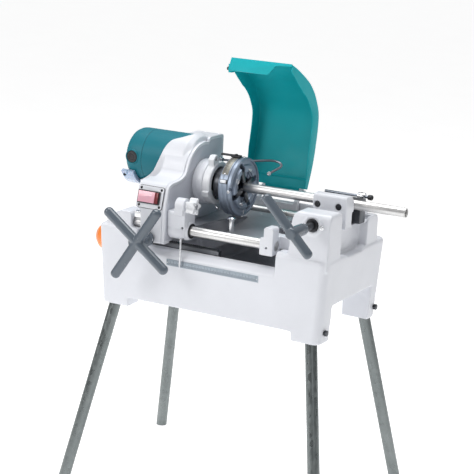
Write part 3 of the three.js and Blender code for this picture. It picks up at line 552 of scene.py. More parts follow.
def make_base():
    outer = loft([section(340, 2.5), section(343, 0.4), section(346, 0), section(564, 0), section(570, 1.4), section(574, 5)])
    bowl = loft([round_rect(228, 162, 16, 452, -10, 4), round_rect(239, 173, 17, 470, -10, 4), round_rect(242, 176, 18, 700, -10, 4)])

    def shoulder(dz):
        return fillet([(-360, 540), (-360, 564), (-350, 576), (-325, 600 + dz), (-310, 612 + dz), (-297, 618 + dz), (-268, 618 + dz), (-260, 611 + dz), (-258, 540)], 8)

    sh_f, sh_b = prism("y", shoulder(0), -186, -118), prism("y", shoulder(-2), 118, 186)
    tower_f = common(
        prism("x", fillet([(-190, 545, 0), (-187, 660), (-180, 690), (-172, 698), (-116, 698), (-110, 692), (-108, 545, 0)], 12), 240, 359),
        prism("y", fillet([(225, 540, 0), (359, 540, 0), (359, 700, 14), (262, 700), (249, 690), (244, 672), (243, 600, 10), (225, 580, 10)], 10), -195, -100))
    tower_b = union(
        prism("x", fillet([(60, 545, 0), (64, 640), (72, 653), (120, 653), (130, 645), (134, 545, 0)], 9), 300, 357),
        box(246, 302, 64, 183.5, 545, 640))
    bed = box(262, 330, -112, 100, 540, 637)
    drop = prism("x", fillet([(-205, 508, 0), (-196.5, 508, 0), (-190, 518), (-181, 527), (-168, 531), (-168, 640, 0), (-205, 640, 0)], 9), -232, 207)
    wall = prism("x", fillet([(183, 500, 0), (192, 500, 0), (192, 632, 3), (183, 632, 3)], 3), -258, 262)
    feet_gap = [box(-262, 262, -210, 210, 330, 366), box(-370, 370, -126, 126, 330, 441)]
    left_h = loft([round_rect(40, 176, 14, 330, -302, 0, 5), round_rect(42, 172, 14, 556, -302, 0, 5)])
    right_h = loft([round_rect(50, 176, 14, 330, 291, 0, 5), round_rect(44, 60, 14, 528, 291, 0, 5)])
    mid_h = loft([round_rect(262, 176, 14, 330, 0, 0, 5), round_rect(262, 176, 14, 441, 0, 0, 5)])
    base = union(outer, sh_f, sh_b, tower_f, tower_b, bed)
    base = cut(base, cut(bowl, bed, tower_b, tower_f, sh_f, sh_b), drop)
    base = union(base, wall, box(207, 243, -190, -150, 500, 580), box(-262, 262, 178, 190, 446, 560))
    base = cut(base, prism("x", fillet([(-74, 572), (-60, 566), (30, 566), (44, 572), (58, 612), (66, 660), (66, 760, 0), (-104, 760, 0), (-104, 640), (-96, 600)], 9), 334, 372))
    base = cut(base, box(236, 349.7, -104, 98, 637, 760))
    corners = [(a, b) for a in (1, -1) for b in (1, -1)]
    foot_gap = cut(feet_gap[1], *[box(*((262, 370) if a > 0 else (-370, -262)), *((126, 210) if b > 0 else (-210, -126)), 330, 441) for a, b in corners])
    base = cut(base, mid_h, left_h, right_h, feet_gap[0], foot_gap)
    for a, b in corners:
        blk = common(outer, box(*((264, 380) if a > 0 else (-380, -264)), *((128, 210) if b > 0 else (-210, -128)), 340, 446))
        base = union(base, blk)
    base = cut(base, *[rod(leg_at(a, b, 300), leg_at(a, b, 430), 17.5, 48) for a, b in corners])
    base = cut(base,
               cyl("x", *BAR_F, 15, -352, -225), cyl("x", *BAR_B, 15, -352, -225), cyl("x", *BAR_B, 15, 240, 262),
               cyl("y", *SCREW, 17.6, -200, -150), cyl("y", *SCREW, 12.4, -160, -100), cyl("y", *SCREW, 12.4, 60, 120),
               cyl("x", -112, 515, 24, -380, -345),
               *[cyl("x", b * 160, 372, 5.6, *((300, 400) if a > 0 else (-400, -300))) for a, b in corners])
    # raised pad round the screw, and a shallow pocket under the bar bracket
    base = union(base, turn([(0, 0), (0, 27), (2.0, 27), (5.0, 24), (5.0, 0)], (308, -190.2, 668), (0, 1, 0)))
    base = cut(base, cyl("y", *SCREW, 17.6, -200, -150))
    base = cut(base, box(150, 206.5, -186, -160, 548, 560))
    # plain machining hole below the deck edge
    base = cut(base, cyl("y", 129, 474, 1.9, -200, -180, 16))
    return cast(base, 2.1, 7, 0.34)


put("casting_base", make_base(), "base", PAINT, "base_casting", "casting_paint", sharp=0)


def make_leg(sx, sy, name):
    a, b = Vector(leg_at(sx, sy, -240)), Vector(leg_at(sx, sy, 428))
    d = (b - a).normalized()
    L = (b - a).length
    tube = turn(fillet([(0, 13.6), (0, 16.85), (L, 16.85), (L, 13.6)], 0.7, True, 3), a, d, 64, True)
    flat = cut(tube, box(-600, 600, -400, 400, -360, -190))
    put("stand_pipe_" + name, flat, "base", GALV, "leg_" + name, "galvanised", sharp=40)
    # clamp screw with a hexagon head on a washer face
    s, y = sx, sy * 160
    x0 = s * 352.0
    hexa = prism("x", ring_pts(y, 372, 8.4, 6), min(x0, x0 + s * 6.4), max(x0, x0 + s * 6.4))
    hexa = common(hexa, turn([(-1, 0), (-1, 9), (4.6, 9), (6.6, 7.2), (6.6, 0)], (x0, y, 372), (s, 0, 0), 48))
    wash = turn(fillet([(-0.6, 0), (-0.6, 8.3), (0.1, 8.3), (0.1, 0)], 0.2, False, 2), (x0, y, 372), (s, 0, 0), 48)
    xin = s * 332.5
    shank = cyl("x", y, 372, 5, min(x0, xin), max(x0, xin), 32)
    put("clamp_screw_" + name, joined(bevel(hexa, 0.4, 2), wash, shank), "base", DARKSTEEL, "leg_screw_" + name, "bright_steel")


for sx, sy, name in ((-1, -1, "front_left"), (1, -1, "front_right"), (-1, 1, "rear_left"), (1, 1, "rear_right")):
    make_leg(sx, sy, name)

put("bar_front", rod((-350, *BAR_F), (190, *BAR_F), BAR_R, 96), "base", CHROME, "front_guide_bar", "chrome_bar")
put("bar_rear", rod((-350, *BAR_B), (260, *BAR_B), BAR_R, 96), "base", CHROME, "rear_guide_bar", "chrome_bar")

bracket = union(
    prism("y", fillet([(152, 562, 4), (192, 562, 4), (192, 610, 4), (152, 610, 4)], 4), -186, -140),
    prism("y", fillet([(163, 600, 2), (192, 600, 2), (192, 635, 6), (187, 640, 4), (168, 640, 4), (163, 635, 4)], 4), -186, -150),
    prism("y", fillet([(152, 576), (239.7, 576, 2), (239.7, 606, 2), (192, 612), (152, 612)], 4), -142, -114))
bracket = cut(bracket, cyl("x", *BAR_F, 14.9, 100, 191.2), cyl("y", 172, 583, 3.4, -190, -172, 32))
put("bar_bracket", cast(bracket, 1.3, 6, 0.35), "base", PAINT, "front_bar_bracket", "casting_paint", sharp=0)
put("bracket_screw", turn([(0, 0), (0, 3.0), (1.5, 3.2), (1.5, 0)], (172, -174.5, 583), (0, 1, 0), 24), "base", OXIDE)

# chip screen: a punched sheet with rows of round holes, left solid round its border and in one band across it
def punched(x0, x1, y0, y1, z0, z1, pitch, r, skip):
    nx, ny = int((x1 - x0) / pitch), int((y1 - y0) / pitch)
    px, py = (x1 - x0) / nx, (y1 - y0) / ny
    verts, faces, index = [], [], {}

    def v(x, y, z):
        k = (round(x, 3), round(y, 3), round(z, 3))
        if k not in index:
            index[k] = len(verts)
            verts.append(k)
        return index[k]

    for i in range(nx):
        for j in range(ny):
            cx, cy = x0 + (i + 0.5) * px, y0 + (j + 0.5) * py
            sq = [(cx + px / 2 * a, cy + py / 2 * b) for a, b in ((1, 0), (1, 1), (0, 1), (-1, 1), (-1, 0), (-1, -1), (0, -1), (1, -1))]
            if skip(cx, cy) or i in (0, nx - 1) or j in (0, ny - 1):
                for z, flip in ((z1, False), (z0, True)):
                    f = [v(*p, z) for p in sq]
                    faces.append(f[::-1] if flip else f)
            else:
                ho = [(cx + r * math.cos(k * math.pi / 4), cy + r * math.sin(k * math.pi / 4)) for k in range(8)]
                for k in range(8):
                    m = (k + 1) % 8
                    faces.append([v(*sq[k], z1), v(*sq[m], z1), v(*ho[m], z1), v(*ho[k], z1)])
                    faces.append([v(*sq[k], z0), v(*ho[k], z0), v(*ho[m], z0), v(*sq[m], z0)])
                    faces.append([v(*ho[k], z1), v(*ho[m], z1), v(*ho[m], z0), v(*ho[k], z0)])
    hx, hy = px / 2, py / 2
    xs = [x0 + hx * k for k in range(2 * nx + 1)]
    ys = [y0 + hy * k for k in range(2 * ny + 1)]
    for y, flip in ((y0, False), (y1, True)):
        for a, b in zip(xs, xs[1:]):
            f = [v(a, y, z0), v(b, y, z0), v(b, y, z1), v(a, y, z1)]
            faces.append(f[::-1] if flip else f)
    for x, flip in ((x0, True), (x1, False)):
        for a, b in zip(ys, ys[1:]):
            f = [v(x, a, z0), v(x, b, z0), v(x, b, z1), v(x, a, z1)]
            faces.append(f[::-1] if flip else f)
    return outward(mesh(verts, faces))


put("screen_sheet", punched(-142.5, 225.5, -159.5, 167.5, 476.2, 479, 7.0, 2.5, lambda x, y: -64 < x < -50), "base", TRAYGREY, "chip_screen", "tray_steel")

# scale strip with engraved lines
def strip_y(z):
    return -half(z)[1] - 0.3


strip = bevel(prism("x", [(strip_y(486), 486), (strip_y(505), 505), (strip_y(505) - 1.1, 504.6), (strip_y(486) - 1.1, 486.4)], -133, 158), 0.25, 2)
put("scale_plate", strip, "base", steel("scale_zinc", (0.34, 0.39, 0.44), rough=0.4, metal=0.7, grain=(1, 9, 9), grain_scale=160), "scale_strip", "scale_zinc")
ticks = []
for k in range(143):
    x = -130 + 2.0 * k
    top = 495 if k % 5 else (499 if k % 10 else 502)
    ticks.append(prism("x", [(strip_y(488) - 1.05, 488), (strip_y(top) - 1.05, top), (strip_y(top) - 1.22, top), (strip_y(488) - 1.22, 488)], x - 0.28, x + 0.28))
put("scale_lines", joined(*ticks), "base", GROOVE)
put("scale_pins", joined(*[turn([(0, 0), (0, 1.7), (-0.7, 1.4), (-1.0, 0.6), (-1.0, 0)], (x, strip_y(495.5) - 1.0, 495.5), (0, 1, 0), 24) for x in (-129.5, 154.5)]), "base", BRIGHT)

cap = turn([*fillet([(-346, 0), (-346, 22), (-364.5, 22), (-364.5, 46), (-378, 45.5), (-398, 39), (-412, 26), (-417.5, 14), (-419, 0)], 4, False, 5)], (0, -112, 515), (1, 0, 0), 96)
ribs = [turned(box(-377, -366, -112 + 45.2, -112 + 46.0, 513.4, 516.6), a, (0, -112, 515)) for a in range(0, 360, 10)]
put("filler_cap", joined(cap, *ribs), "drain_cap", ORANGE, "drain_cap", "orange_cap", sharp=50)

put("screw_bush", turn(fillet([(-194, 10.3), (-194, 17), (-152, 17), (-152, 10.3)], 0.8, True, 3), (308, 0, 668), (0, 1, 0), 80, True), "base", OXIDE, "vise_bush", "bright_steel")
holder = cut(union(box(302, 318, 105, 123, 653.3, 692), cyl("x", 114, 697, 11, 300, 320)), cyl("x", 114, 697, 4.4, 295, 330))
put("rod_holder", bevel(holder, 1.2, 3), "base", STEEL, "stop_rod_holder", "bright_steel")
put("rod_grub", turn([(0, 0), (0, 2.6), (1.6, 2.8), (1.6, 0)], (310, 114, 706.8), (0, 0, 1), 24), "base", OXIDE)
put("rod_stop", rod((195, 114, 697), (340, 114, 697), 4, 48), "stop_rod", DULL, "stop_rod", "chrome_bar")
nut = turn(fillet([(329, 4.4), (329, 6.2), (331, 7.6), (341, 7.6), (343, 6), (343, 4.4)], 0.6, True, 3), (0, 114, 697), (1, 0, 0), 72, True)
knurl = [turned(box(331.5, 340.5, 114 + 7.3, 114 + 7.6, 696.4, 697.6), a, (0, 114, 697)) for a in range(0, 360, 15)]
put("rod_nut", joined(nut, *knurl), "stop_screw", OXIDE, "stop_rod_screw", "black_parts", sharp=40)

# allen screw by the tower's screw pad, and a key by the left slot
def socket_screw(c, d, r, h, hexr=0.5, n=48):
    """Cap screw head with a hexagon socket, standing h proud of c along d."""
    u, v, w = frame_of(d)
    head = turn(fillet([(0, 0), (0, r), (h, r), (h, 0)], r * 0.14, False, 4), c, d, n)
    C = Vector(c) + w * (h * 0.35)
    pts = [C + (u * math.cos(k * math.pi / 3) + v * math.sin(k * math.pi / 3)) * r * hexr for k in range(6)]
    sock = loft([[tuple(p) for p in pts], [tuple(p + w * h) for p in pts]])
    return cut(head, sock)


put("tower_screw", socket_screw((337.3, -189.5, 665.6), (0, -1, 0), 6.4, 2.6), "base", BRIGHT)
put("left_slot_key", bevel(box(-254, -226, -181, -170, 604, 622), 1.2, 3), "base", BRIGHT)

# ------------------------------------------------------------------ headstock castings
S = (0.0, 697.0)
MOTOR = (10.0, 746.0)
MOTOR_R = 78.0
FACE = -140.0


def arc(cu, cv, r, a0, a1, n):
    return [(cu + r * math.cos(math.radians(a0 + (a1 - a0) * i / n)), cv + r * math.sin(math.radians(a0 + (a1 - a0) * i / n))) for i in range(n + 1)]


ARCH = fillet([(-203, 545, 3), (-128, 545, 3), (-128, 574, 6), (118, 574, 1), (118, 570, 1), (176, 570, 3), (176, 577, 1), (180, 581, 1), (180, 632, 6), (172, 640, 5), (116, 648, 6),
               (111, 660, 6), (111, 812, 5), (104, 819, 4), (34, 819, 4), (26, 812, 3)] + arc(4, 713, 96, 76, 160, 28) + [(-92, 733, 14), (-103, 724, 10), (-120, 718, 8), (-139, 715.5, 8), (-170, 713, 8),
               (-181, 709, 6), (-187, 702, 6), (-203, 640, 8)], 2)
PANEL = fillet([(-194, 553, 3), (-136, 553, 3), (-136, 582, 6), (110, 582), (170, 580), (173, 585), (173, 626), (166, 632), (108, 641, 6),
                (103, 656, 5), (103, 805, 5), (98, 811, 4), (38, 811, 4), (30, 804, 3)] + arc(4, 713, 88, 75, 162, 28) + [(-90, 724, 10), (-100, 716, 8), (-118, 710, 8), (-139, 707.5, 8), (-166, 705, 8),
                (-175, 701, 5), (-180, 696, 5), (-194, 640, 8)], 2)

dSM = math.hypot(MOTOR[0], MOTOR[1] - 697)
r12, r34 = (2.5 * 48 + 2.5 * 14) / 2, (2 * 40 + 2 * 10) / 2
al = (r12 ** 2 - r34 ** 2 + dSM ** 2) / (2 * dSM)
of = math.sqrt(r12 ** 2 - al ** 2)
uu = (MOTOR[0] / dSM, (MOTOR[1] - 697) / dSM)
CLUSTER = (al * uu[0] + of * uu[1], 697 + al * uu[1] - of * uu[0])


def make_housing():
    body = prism("x", ARCH, -225, -150)
    edge = [tuple(q) for q in spline([(-160, 838), (-170, 830), (-195, 820), (-220, 811), (-229, 800), (-234, 790), (-238, 778), (-242, 766), (-247, 753), (-253, 740), (-260, 728), (-268, 717), (-280, 706), (-298, 694), (-318, 683), (-334, 676)], 4)] + [(-334, 560), (-140, 560), (-140, 838)]
    cradle = common(union(cyl("x", *MOTOR, 86, -330, -168, 128), turn([(-168.2, 0), (-168.2, 86), (-152, 75), (-152, 0)], (0, *MOTOR), (1, 0, 0), 128), box(-300, -224, -50, 86, 640, 700)), prism("y", edge, -200, 200))
    neck = prism("y", fillet([(-300, 668), (-300, 656), (-262, 632), (-240, 600), (-224.5, 580, 0), (-224.5, 690, 0), (-280, 700)], 6), -60, 96)
    foot = prism("x", fillet([(-203, 638, 4), (-187, 702, 6), (-181, 709, 6), (-170, 713, 6), (-120, 716, 4), (-120, 638, 0)], 3), -238, -223)
    h = union(body, cradle, neck, foot)
    cavity = union(cyl("x", *S, 68.5, -222, -149, 64), cyl("x", *CLUSTER, 45.5, -222, -149, 48))
    h = cut(h, cyl("x", *MOTOR, MOTOR_R + 0.8, -340, -231.7, 128))
    h = cut(h, common(cyl("x", *MOTOR, MOTOR_R + 0.8, -240, -164.7, 128), box(-240, -160, -120, 120, 803.7, 830)))
    h = cut(h, cavity, cyl("x", *MOTOR, 9, -240, -215), cyl("x", *BAR_F, 16.5, -260, -140), cyl("x", *BAR_B, 16.5, -260, -140),
            cyl("y", -190, 557, 16, -172, -146), cyl("y", -190, 557, 9.4, -210, -140), box(-240, -140, -174, -146, 540, 549),
            prism("y", [(-240, 500), (-221, 500), (-221, 636), (-240, 641)], -210, -120), box(-227, -163, -220, -170, 652, 690))
    return cast(h, 1.8, 9, 0.33)


put("casting_housing", make_housing(), "headstock", PAINT, "gear_housing", "casting_paint", sharp=0)

face = cut(prism("x", ARCH, -149.7, FACE), prism("x", PANEL, -141.6, -138), cyl("x", *S, 27, -160, -130), cyl("x", *BAR_F, 16.5, -160, -130), cyl("x", *BAR_B, 16.5, -160, -130),
           box(-160, -130, -174, -146, 540, 549))
put("casting_face", cast(face, 1.25, 6, 0.3), "headstock", PAINT, "housing_front", "casting_shade", sharp=0)
# recessed face panel in the darker copy of the casting paint: painted shade
panel = cut(prism("x", fillet([(p[0], p[1]) for p in PANEL], 0), -141.9, -140.9), cyl("x", *S, 66, -160, -130), cyl("x", *BAR_F, 18, -160, -130), cyl("x", *BAR_B, 18, -160, -130), box(-160, -130, -176, -144, 540, 551))
put("face_panel", bevel(panel, 0.3, 2), "headstock", SHADE)

# ------------------------------------------------------------------ motor
casing_in = cyl("x", *MOTOR, 62, -315, -237, 64)
lobe = common(cyl("x", *MOTOR, MOTOR_R, -234, -165, 128), box(-250, -160, -120, 120, 804, 830))
casing = turn_x([(-309.7, 0), (-309.7, MOTOR_R), (-232, MOTOR_R), (-232, 0)], *MOTOR, r=1.0, n=128)
casing = cut(union(casing, lobe), casing_in, cyl("x", *MOTOR, 8.6, -240, -150))
put("motor_shell", casing, "headstock", TEAL, "motor_casing", "motor_teal", sharp=30)

cap = turn([*fillet([(-374, 0, 0), (-374, 50, 8), (-371, 62, 12), (-363, 71.5, 12), (-352, 76.8, 10), (-342, MOTOR_R, 8), (-310.4, MOTOR_R, 0.8), (-310.4, 62, 0), (-354, 62, 3), (-354, 12, 2), (-362, 12, 1), (-362, 0, 0)], 3, False, 6)], (0, *MOTOR), (1, 0, 0), 128)
cap = cut(cap, cyl("y", -341, 749, 17.6, -80, -40, 64), cyl("y", -341, 749, 17.6, 60, 100, 64))
slots = []
for k in range(12):
    slots.append(turned(prism("x", fillet([(MOTOR[0] - 3, MOTOR[1] + 20), (MOTOR[0] + 3, MOTOR[1] + 20), (MOTOR[0] + 3.4, MOTOR[1] + 42), (MOTOR[0] - 3.4, MOTOR[1] + 42)], 3), -378, -371.4), 30 * k, (0, *MOTOR)))
cap = cut(cap, *slots)
put("motor_cap", bevel(cap, 0.35, 2, 40), "headstock", TEAL, "motor_end_cap", "motor_teal", sharp=40)
# shadow groove at the seam and round the brush holders
put("motor_seam", turn([(-310.6, 75), (-310.6, 77.2), (-309.5, 77.2), (-309.5, 75)], (0, *MOTOR), (1, 0, 0), 128, True), "headstock", GROOVE)
for side, name in ((-1, "front"), (1, "rear")):
    c0 = -50 if side < 0 else 70

    def yy(t):
        return -50 - t if side < 0 else 70 + t
    prof = [(yy(0), 0), (yy(0), 10), (yy(7), 10), (yy(7), 17), (yy(18.5), 17), (yy(20), 15), (yy(20), 10.5), (yy(18.6), 9.6), (yy(18.6), 7.5), (yy(19.6), 6.6), (yy(19.6), 0)]
    holder = turn(fillet(prof, 0.7, False, 3), (-341, 0, 749), (0, 1, 0), 64)
    slot = box(-341 - 5.5, -341 + 5.5, min(yy(18.4), yy(21)), max(yy(18.4), yy(21)), 748.1, 749.9)
    boss = turn(fillet([(yy(13), 17.9), (yy(13), 22.5), (yy(18.8), 21.4), (yy(19.4), 20), (yy(19.4), 17.9)], 0.9, True, 4), (-341, 0, 749), (0, 1, 0), 96, True)
    put("brush_boss_" + name, boss, "headstock", TEAL)
    put("brush_holder_" + name, cut(holder, slot), "headstock", BLACK, "brush_cap_" + name, "black_parts", sharp=40)

sad = prism("x", fillet(arc(*MOTOR, 90, 208, 312, 40) + arc(*MOTOR, 79.3, 312, 208, 40), 1.4), -376, -335)
sad = cut(sad, cyl("z", -356, -66, 3, 640, 760, 32))
put("saddle", bevel(sad, 1.4, 4), "headstock", SADDLE, "motor_saddle", "saddle_blue", sharp=40)
put("saddle_screw", turned(socket_screw((-368, 10 + 89.7, 746), (0, 1, 0), 4.6, 2.2), 217, (0, *MOTOR)), "headstock", OXIDE)

# ------------------------------------------------------------------ slide arms
KX, KZ = -176.0, 660.0
arm = union(
    prism("x", fillet([(-184, 586), (-136, 586), (-132, 604), (-132, 628), (-140, 640, 8), (-158, 642), (-188, 642, 4), (-190, 634), (-188, 600)], 6), FACE + 0.3, -84),
    cyl("x", *BAR_F, 27.5, FACE + 0.3, -84, 96), cyl("x", *BAR_F, 24.5, -84, -77, 96),
    cyl("x", KX, KZ, 20, -114, -86, 96),
    prism("x", [(-196, 632), (-158, 632), (-156.4, 656), (-195.6, 656)], -114, -88),
    turn([(-88.5, 0), (-88.5, 13), (-85.4, 13), (-85.4, 0)], (0, KX, KZ), (1, 0, 0), 64))
arm = cut(arm, cyl("x", *BAR_F, 14.8, -160, -60), cyl("y", -92, 597, 3.6, -200, -176, 32), cyl("x", KX, KZ, 5.3, -130, -80))
put("arm_front", cast(arm, 1.2, 6, 0.35), "headstock", PAINT, "front_bearing_arm", "casting_paint", sharp=0)
put("arm_grub", turn([(0, 0), (0, 3.2), (1.4, 3.4), (1.4, 0)], (-92, -182, 597), (0, 1, 0), 24), "headstock", OXIDE)
put("arm_wiper", turn(fillet([(-77.2, 15.1), (-77.2, 21), (-75.4, 21), (-75.4, 15.1)], 0.5, True, 3), (0, *BAR_F), (1, 0, 0), 64, True), "headstock", OXIDE)

rear = union(
    prism("x", fillet([(128, 574), (174, 574), (180, 580), (180, 630), (134, 632), (128, 626)], 5), FACE + 0.3, -82),
    prism("x", fillet([(166.5, 604), (180, 604), (180, 630), (166.5, 630)], 3), -84, 84),
    *[prism("x", fillet([(166.5, 624), (180, 624), (180, 634, 8), (206, 646), (212, 652), (214, 660, 8), (211, 668, 6), (204, 670.4, 6), (197.4, 668, 5), (193, 660, 5), (166.5, 636)], 4), a, b) for a, b in ((-54, -42), (70, 82))])
rear = cut(rear, cyl("x", *BAR_B, 14.8, -160, -60), cyl("x", 204, 660, 4.3, -60, 100))
put("arm_rear", cast(rear, 1.3, 5, 0.35), "headstock", PAINT, "rear_bearing_arm", "casting_paint", sharp=0)

# ------------------------------------------------------------------ switch
TILT = math.atan2(16, 62)
PLATE = Matrix.Translation((-192, -195.4, 671)) @ Matrix.Rotation(-TILT, 4, "X")


def on_plate(me):
    """Moves a piece drawn on a flat y-z plate (y outward negative) on to the tilted switch face."""
    me.transform(PLATE)
    return me


def plate_box(hw, hh, d0, d1, r=0.0):
    pts = [(-hw, -hh), (hw, -hh), (hw, hh), (-hw, hh)]
    return prism("y", fillet(pts, r, True, 6) if r else pts, -d1, -d0)


SW = -3.0


def sw_box(hw, hh, d0, d1, r=0.0):
    return moved(plate_box(hw, hh, d0, d1, r), x=SW)


# black gasket round the switch plate, partly a real gasket and partly a painted shadow gap under the plate's edge
gasket_and_shadow_gap = cut(plate_box(41.4, 32.4, -0.5, 0.3, 7.9), sw_box(31.5, 15.5, -3, 3))
put("switch_gasket_and_shadow_gap", on_plate(bevel(gasket_and_shadow_gap, 0.15, 2)), "headstock", BLACK)
plate = cut(plate_box(40, 31, 0.6, 3.6, 7), sw_box(31, 15, -5, 8, 1), *[cyl("y", a, b, 4.1, -5, 5, 32) for a in (-33, 33) for b in (-24.2, 24.2)])
put("switch_face", on_plate(bevel(plate, 0.9, 4)), "headstock", PAINT, "switch_plate", "casting_paint", sharp=45)
screws = []
for a in (-33, 33):
    for b in (-24.2, 24.2):
        h = turn(fillet([(0, 0), (0, 3.8), (-1.6, 3.4), (-2.6, 2.0), (-3.0, 0)], 0.5, False, 3), (a, -1.6, b), (0, 1, 0), 40)
        screws.append(cut(h, box(a - 2.3, a + 2.3, -6, -3.2, b - 0.45, b + 0.45), box(a - 0.45, a + 0.45, -6, -3.2, b - 2.3, b + 2.3)))
put("switch_screws", on_plate(joined(*screws)), "headstock", OXIDE)
bez = cut(union(sw_box(35.5, 18.7, 3.9, 8.4, 3), sw_box(30.6, 14.6, -12, 4)), sw_box(29, 13, -20, 12, 1.2), sw_box(33.6, 16.6, 4.6, 12, 2))
put("switch_bezel", on_plate(bevel(bez, 0.7, 3)), "headstock", BLACK, "rocker_frame", "black_parts", sharp=45)


def rocker_piece(x0, x1):
    pts = [(-32.6, -8.6), (-32.6, -11.6), (-16, -9.7), (0, -9.0), (16, -10.2), (32.6, -13), (32.6, -8.6), (0, -5.2)]
    me = common(prism("z", fillet(pts, 1.6, True, 4), -15.6, 15.6), box(x0, x1, -20, 20, -16, 16))
    me.transform(Matrix.Translation((SW, 0, 0)))
    return me


stem = moved(prism("z", fillet([(-24, -8.4), (20, -8.4), (20, 0), (6, 6), (-6, 6), (-20, 0)], 1.0), -11.5, 11.5), x=SW)
put("rocker_key", on_plate(joined(bevel(rocker_piece(-33, 20.5), 1.1, 4), stem)), "rocker", ROCKER, "rocker_switch", "rocker_red", sharp=45)
put("rocker_key_end", on_plate(bevel(rocker_piece(20.8, 33), 1.1, 4)), "rocker", DARKRED)

# ------------------------------------------------------------------ bearing collar and rings
put("collar", turn(fillet([(FACE + 0.3, 26.6), (FACE + 0.3, 63), (-136, 64), (-124.6, 64), (-123.6, 62.8), (-122.6, 64), (-112, 64), (-108, 62.2), (-108, 26.6)], 1.0, True, 4), (0, *S), (1, 0, 0), 128, True),
    "headstock", PAINT, "bearing_collar", "casting_paint", sharp=50)
lug = union(
    turn(fillet([(-107.7, 47), (-107.7, 60.5), (-105.4, 62.3), (-88, 62.5), (-84, 60.5), (-84, 47)], 1.2, True, 4), (0, *S), (1, 0, 0), 128, True),
    prism("x", fillet([(-34, 748, 0), (-8, 754, 0), (-9, 775), (-17, 781), (-28, 779), (-38, 768)], 5), -104, -86),
    turned(prism("x", fillet([(-9, 752, 0), (9, 752, 0), (9, 766, 3), (-9, 766, 3)], 2), -106, -85), 112 + 0))
lug = cut(lug, turn([(-110, 0), (-110, 4.8), (-80, 4.8), (-80, 0)], (0, -22, 767), (1, 0, 0), 32))
put("ring_lug", cast(lug, 1.0, 4, 0.4), "headstock", KNOB, "lug_ring", "casting_paint", sharp=0)
put("lug_bolt", turn([(-100, 0), (-100, 4.4), (-88.5, 4.4), (-88.5, 2.2), (-91, 1.8), (-91, 0)], (0, -22, 767), (1, 0, 0), 32), "headstock", OXIDE)
put("collar_stub", rod((-83.8, -22, 634), (-72, -25, 627), 3.6, 32), "headstock", BRIGHT)

def slope(y):
    return 567 + (y + 112) * 0.161


drip = joined(
    bevel(prism("z", fillet([(FACE + 0.3, -124), (-101, -124), (-94, -118), (-72, 30), (-70, 118), (FACE + 0.3, 118)], 7), 588, 590.4), 0.6, 3),
    bevel(union(prism("x", [(-112, slope(-112)), (112, slope(112)), (112, slope(112) + 2.4), (-112, slope(-112) + 2.4)], -18, 108),
                prism("x", [(60, 587), (112, 587), (112, slope(112) + 2.4), (60, slope(60) + 2.4)], -73, -17),
                prism("x", [(-112, slope(-112) - 8), (-109.6, slope(-112) - 8), (-109.6, slope(-112) + 2), (-112, slope(-112) + 1)], -18, 108)), 0.7, 3))
put("drip_plate", drip, "headstock", TRAYGREY, "drip_chute", "tray_steel", sharp=40)
put("plate_knob", turn(fillet([(slope(-60) + 1, 0), (slope(-60) + 1, 9.2), (610, 9.2), (611.4, 11.6), (613, 12.9), (616.4, 12.2), (619.6, 8), (621.3, 3), (621.6, 0)], 1.0, False, 4), (-8, -60, 0), (0, 0, 1), 72), "headstock", BRIGHT)
put("plate_rivets", joined(*[turn([(0, 0), (0, 3.4), (0.8, 2.9), (1.3, 1.6), (1.5, 0)], (x, y, slope(y) + 2.3), (0, -0.159, 0.987), 32) for x, y in ((4, -98), (96, -98), (4, 96), (96, 96))]), "headstock", STEEL)

tube = sweep([(FACE + 6, 80, 748), (-127, 80, 748), (-118, 80, 748), (-60, 81, 752), (0, 76, 762), (40, 68, 769), (60, 61, 770.5), (73, 60, 768), (79.5, 59, 762.5), (77, 57, 756), (62, 49, 745), (47, 41, 734)], 3.3, 32)
put("coolant_pipe", tube, "headstock", DULL, "coolant_tube", "bright_steel", sharp=50)
nose = Vector((47, 41, 734))
dirn = (nose - Vector((62, 49, 745))).normalized()
put("coolant_tip", turn(fillet([(-9, 3.2), (-9, 4.8), (-1, 5.0), (1.0, 4.2), (1.0, 2.2), (-4, 2.2), (-4, 3.2)], 0.4, True, 3), nose, dirn, 48, True), "headstock", BRIGHT)
hexn = bevel(prism("x", ring_pts(80, 748, 8, 6), FACE + 0.3, -128), 0.5, 2)
put("coolant_nut", joined(cut(union(hexn, cyl("x", 80, 748, 6, -129, -122)), cyl("x", 80, 748, 4.3, -134.3, -110))), "headstock", BRIGHT, "coolant_union", "bright_steel")
pin = union(rod((-85, -203.5, 566), (-85, -203.5, 500), 3, 48), prism("y", [(-88, 502), (-82, 502), (-84.2, 487), (-85.8, 487)], -205.5, -201.5), bevel(box(-89, -81, -206.5, -190.3, 562, 571), 1, 3))
put("pointer", pin, "headstock", STEEL, "depth_pointer", "bright_steel", sharp=40)

star = [(KX + (18.6 + 6.2 * math.cos(5 * a)) * math.cos(a), KZ + (18.6 + 6.2 * math.cos(5 * a)) * math.sin(a)) for a in (i / 120 * math.tau for i in range(120))]
knob = union(prism("x", star, -78, -54), turn([(-85, 0), (-85, 11), (-83, 12), (-78, 12), (-76, 12), (-76, 0)], (0, KX, KZ), (1, 0, 0), 64))
knob = cut(knob, turn([(-55.6, 0), (-55.6, 11), (-53, 12.5), (-53, 0)], (0, KX, KZ), (1, 0, 0), 64))
put("knob_star", cast(knob, 0.8, 8, 0.35), "star_knob", KNOB, "star_knob", "knob_white", sharp=0)
put("knob_stud", rod((-112, KX, KZ), (-84, KX, KZ), 5, 32), "star_knob", STEEL)
put("knob_cap", turn([(-56, 0), (-56, 8), (-54.6, 7.4), (-54.2, 0)], (0, KX, KZ), (1, 0, 0), 48), "star_knob", BRIGHT)

# ------------------------------------------------------------------ drive inside the housing (CAD pieces, better surfaces)
def dress(node, mat, width=0.35):
    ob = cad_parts[node]
    ob.data.materials.clear()
    ob.data.materials.append(mat)
    m = ob.modifiers.new("edges", "BEVEL")
    m.width = width / 1000
    m.segments = 2
    m.limit_method = "ANGLE"
    m.angle_limit = math.radians(35)


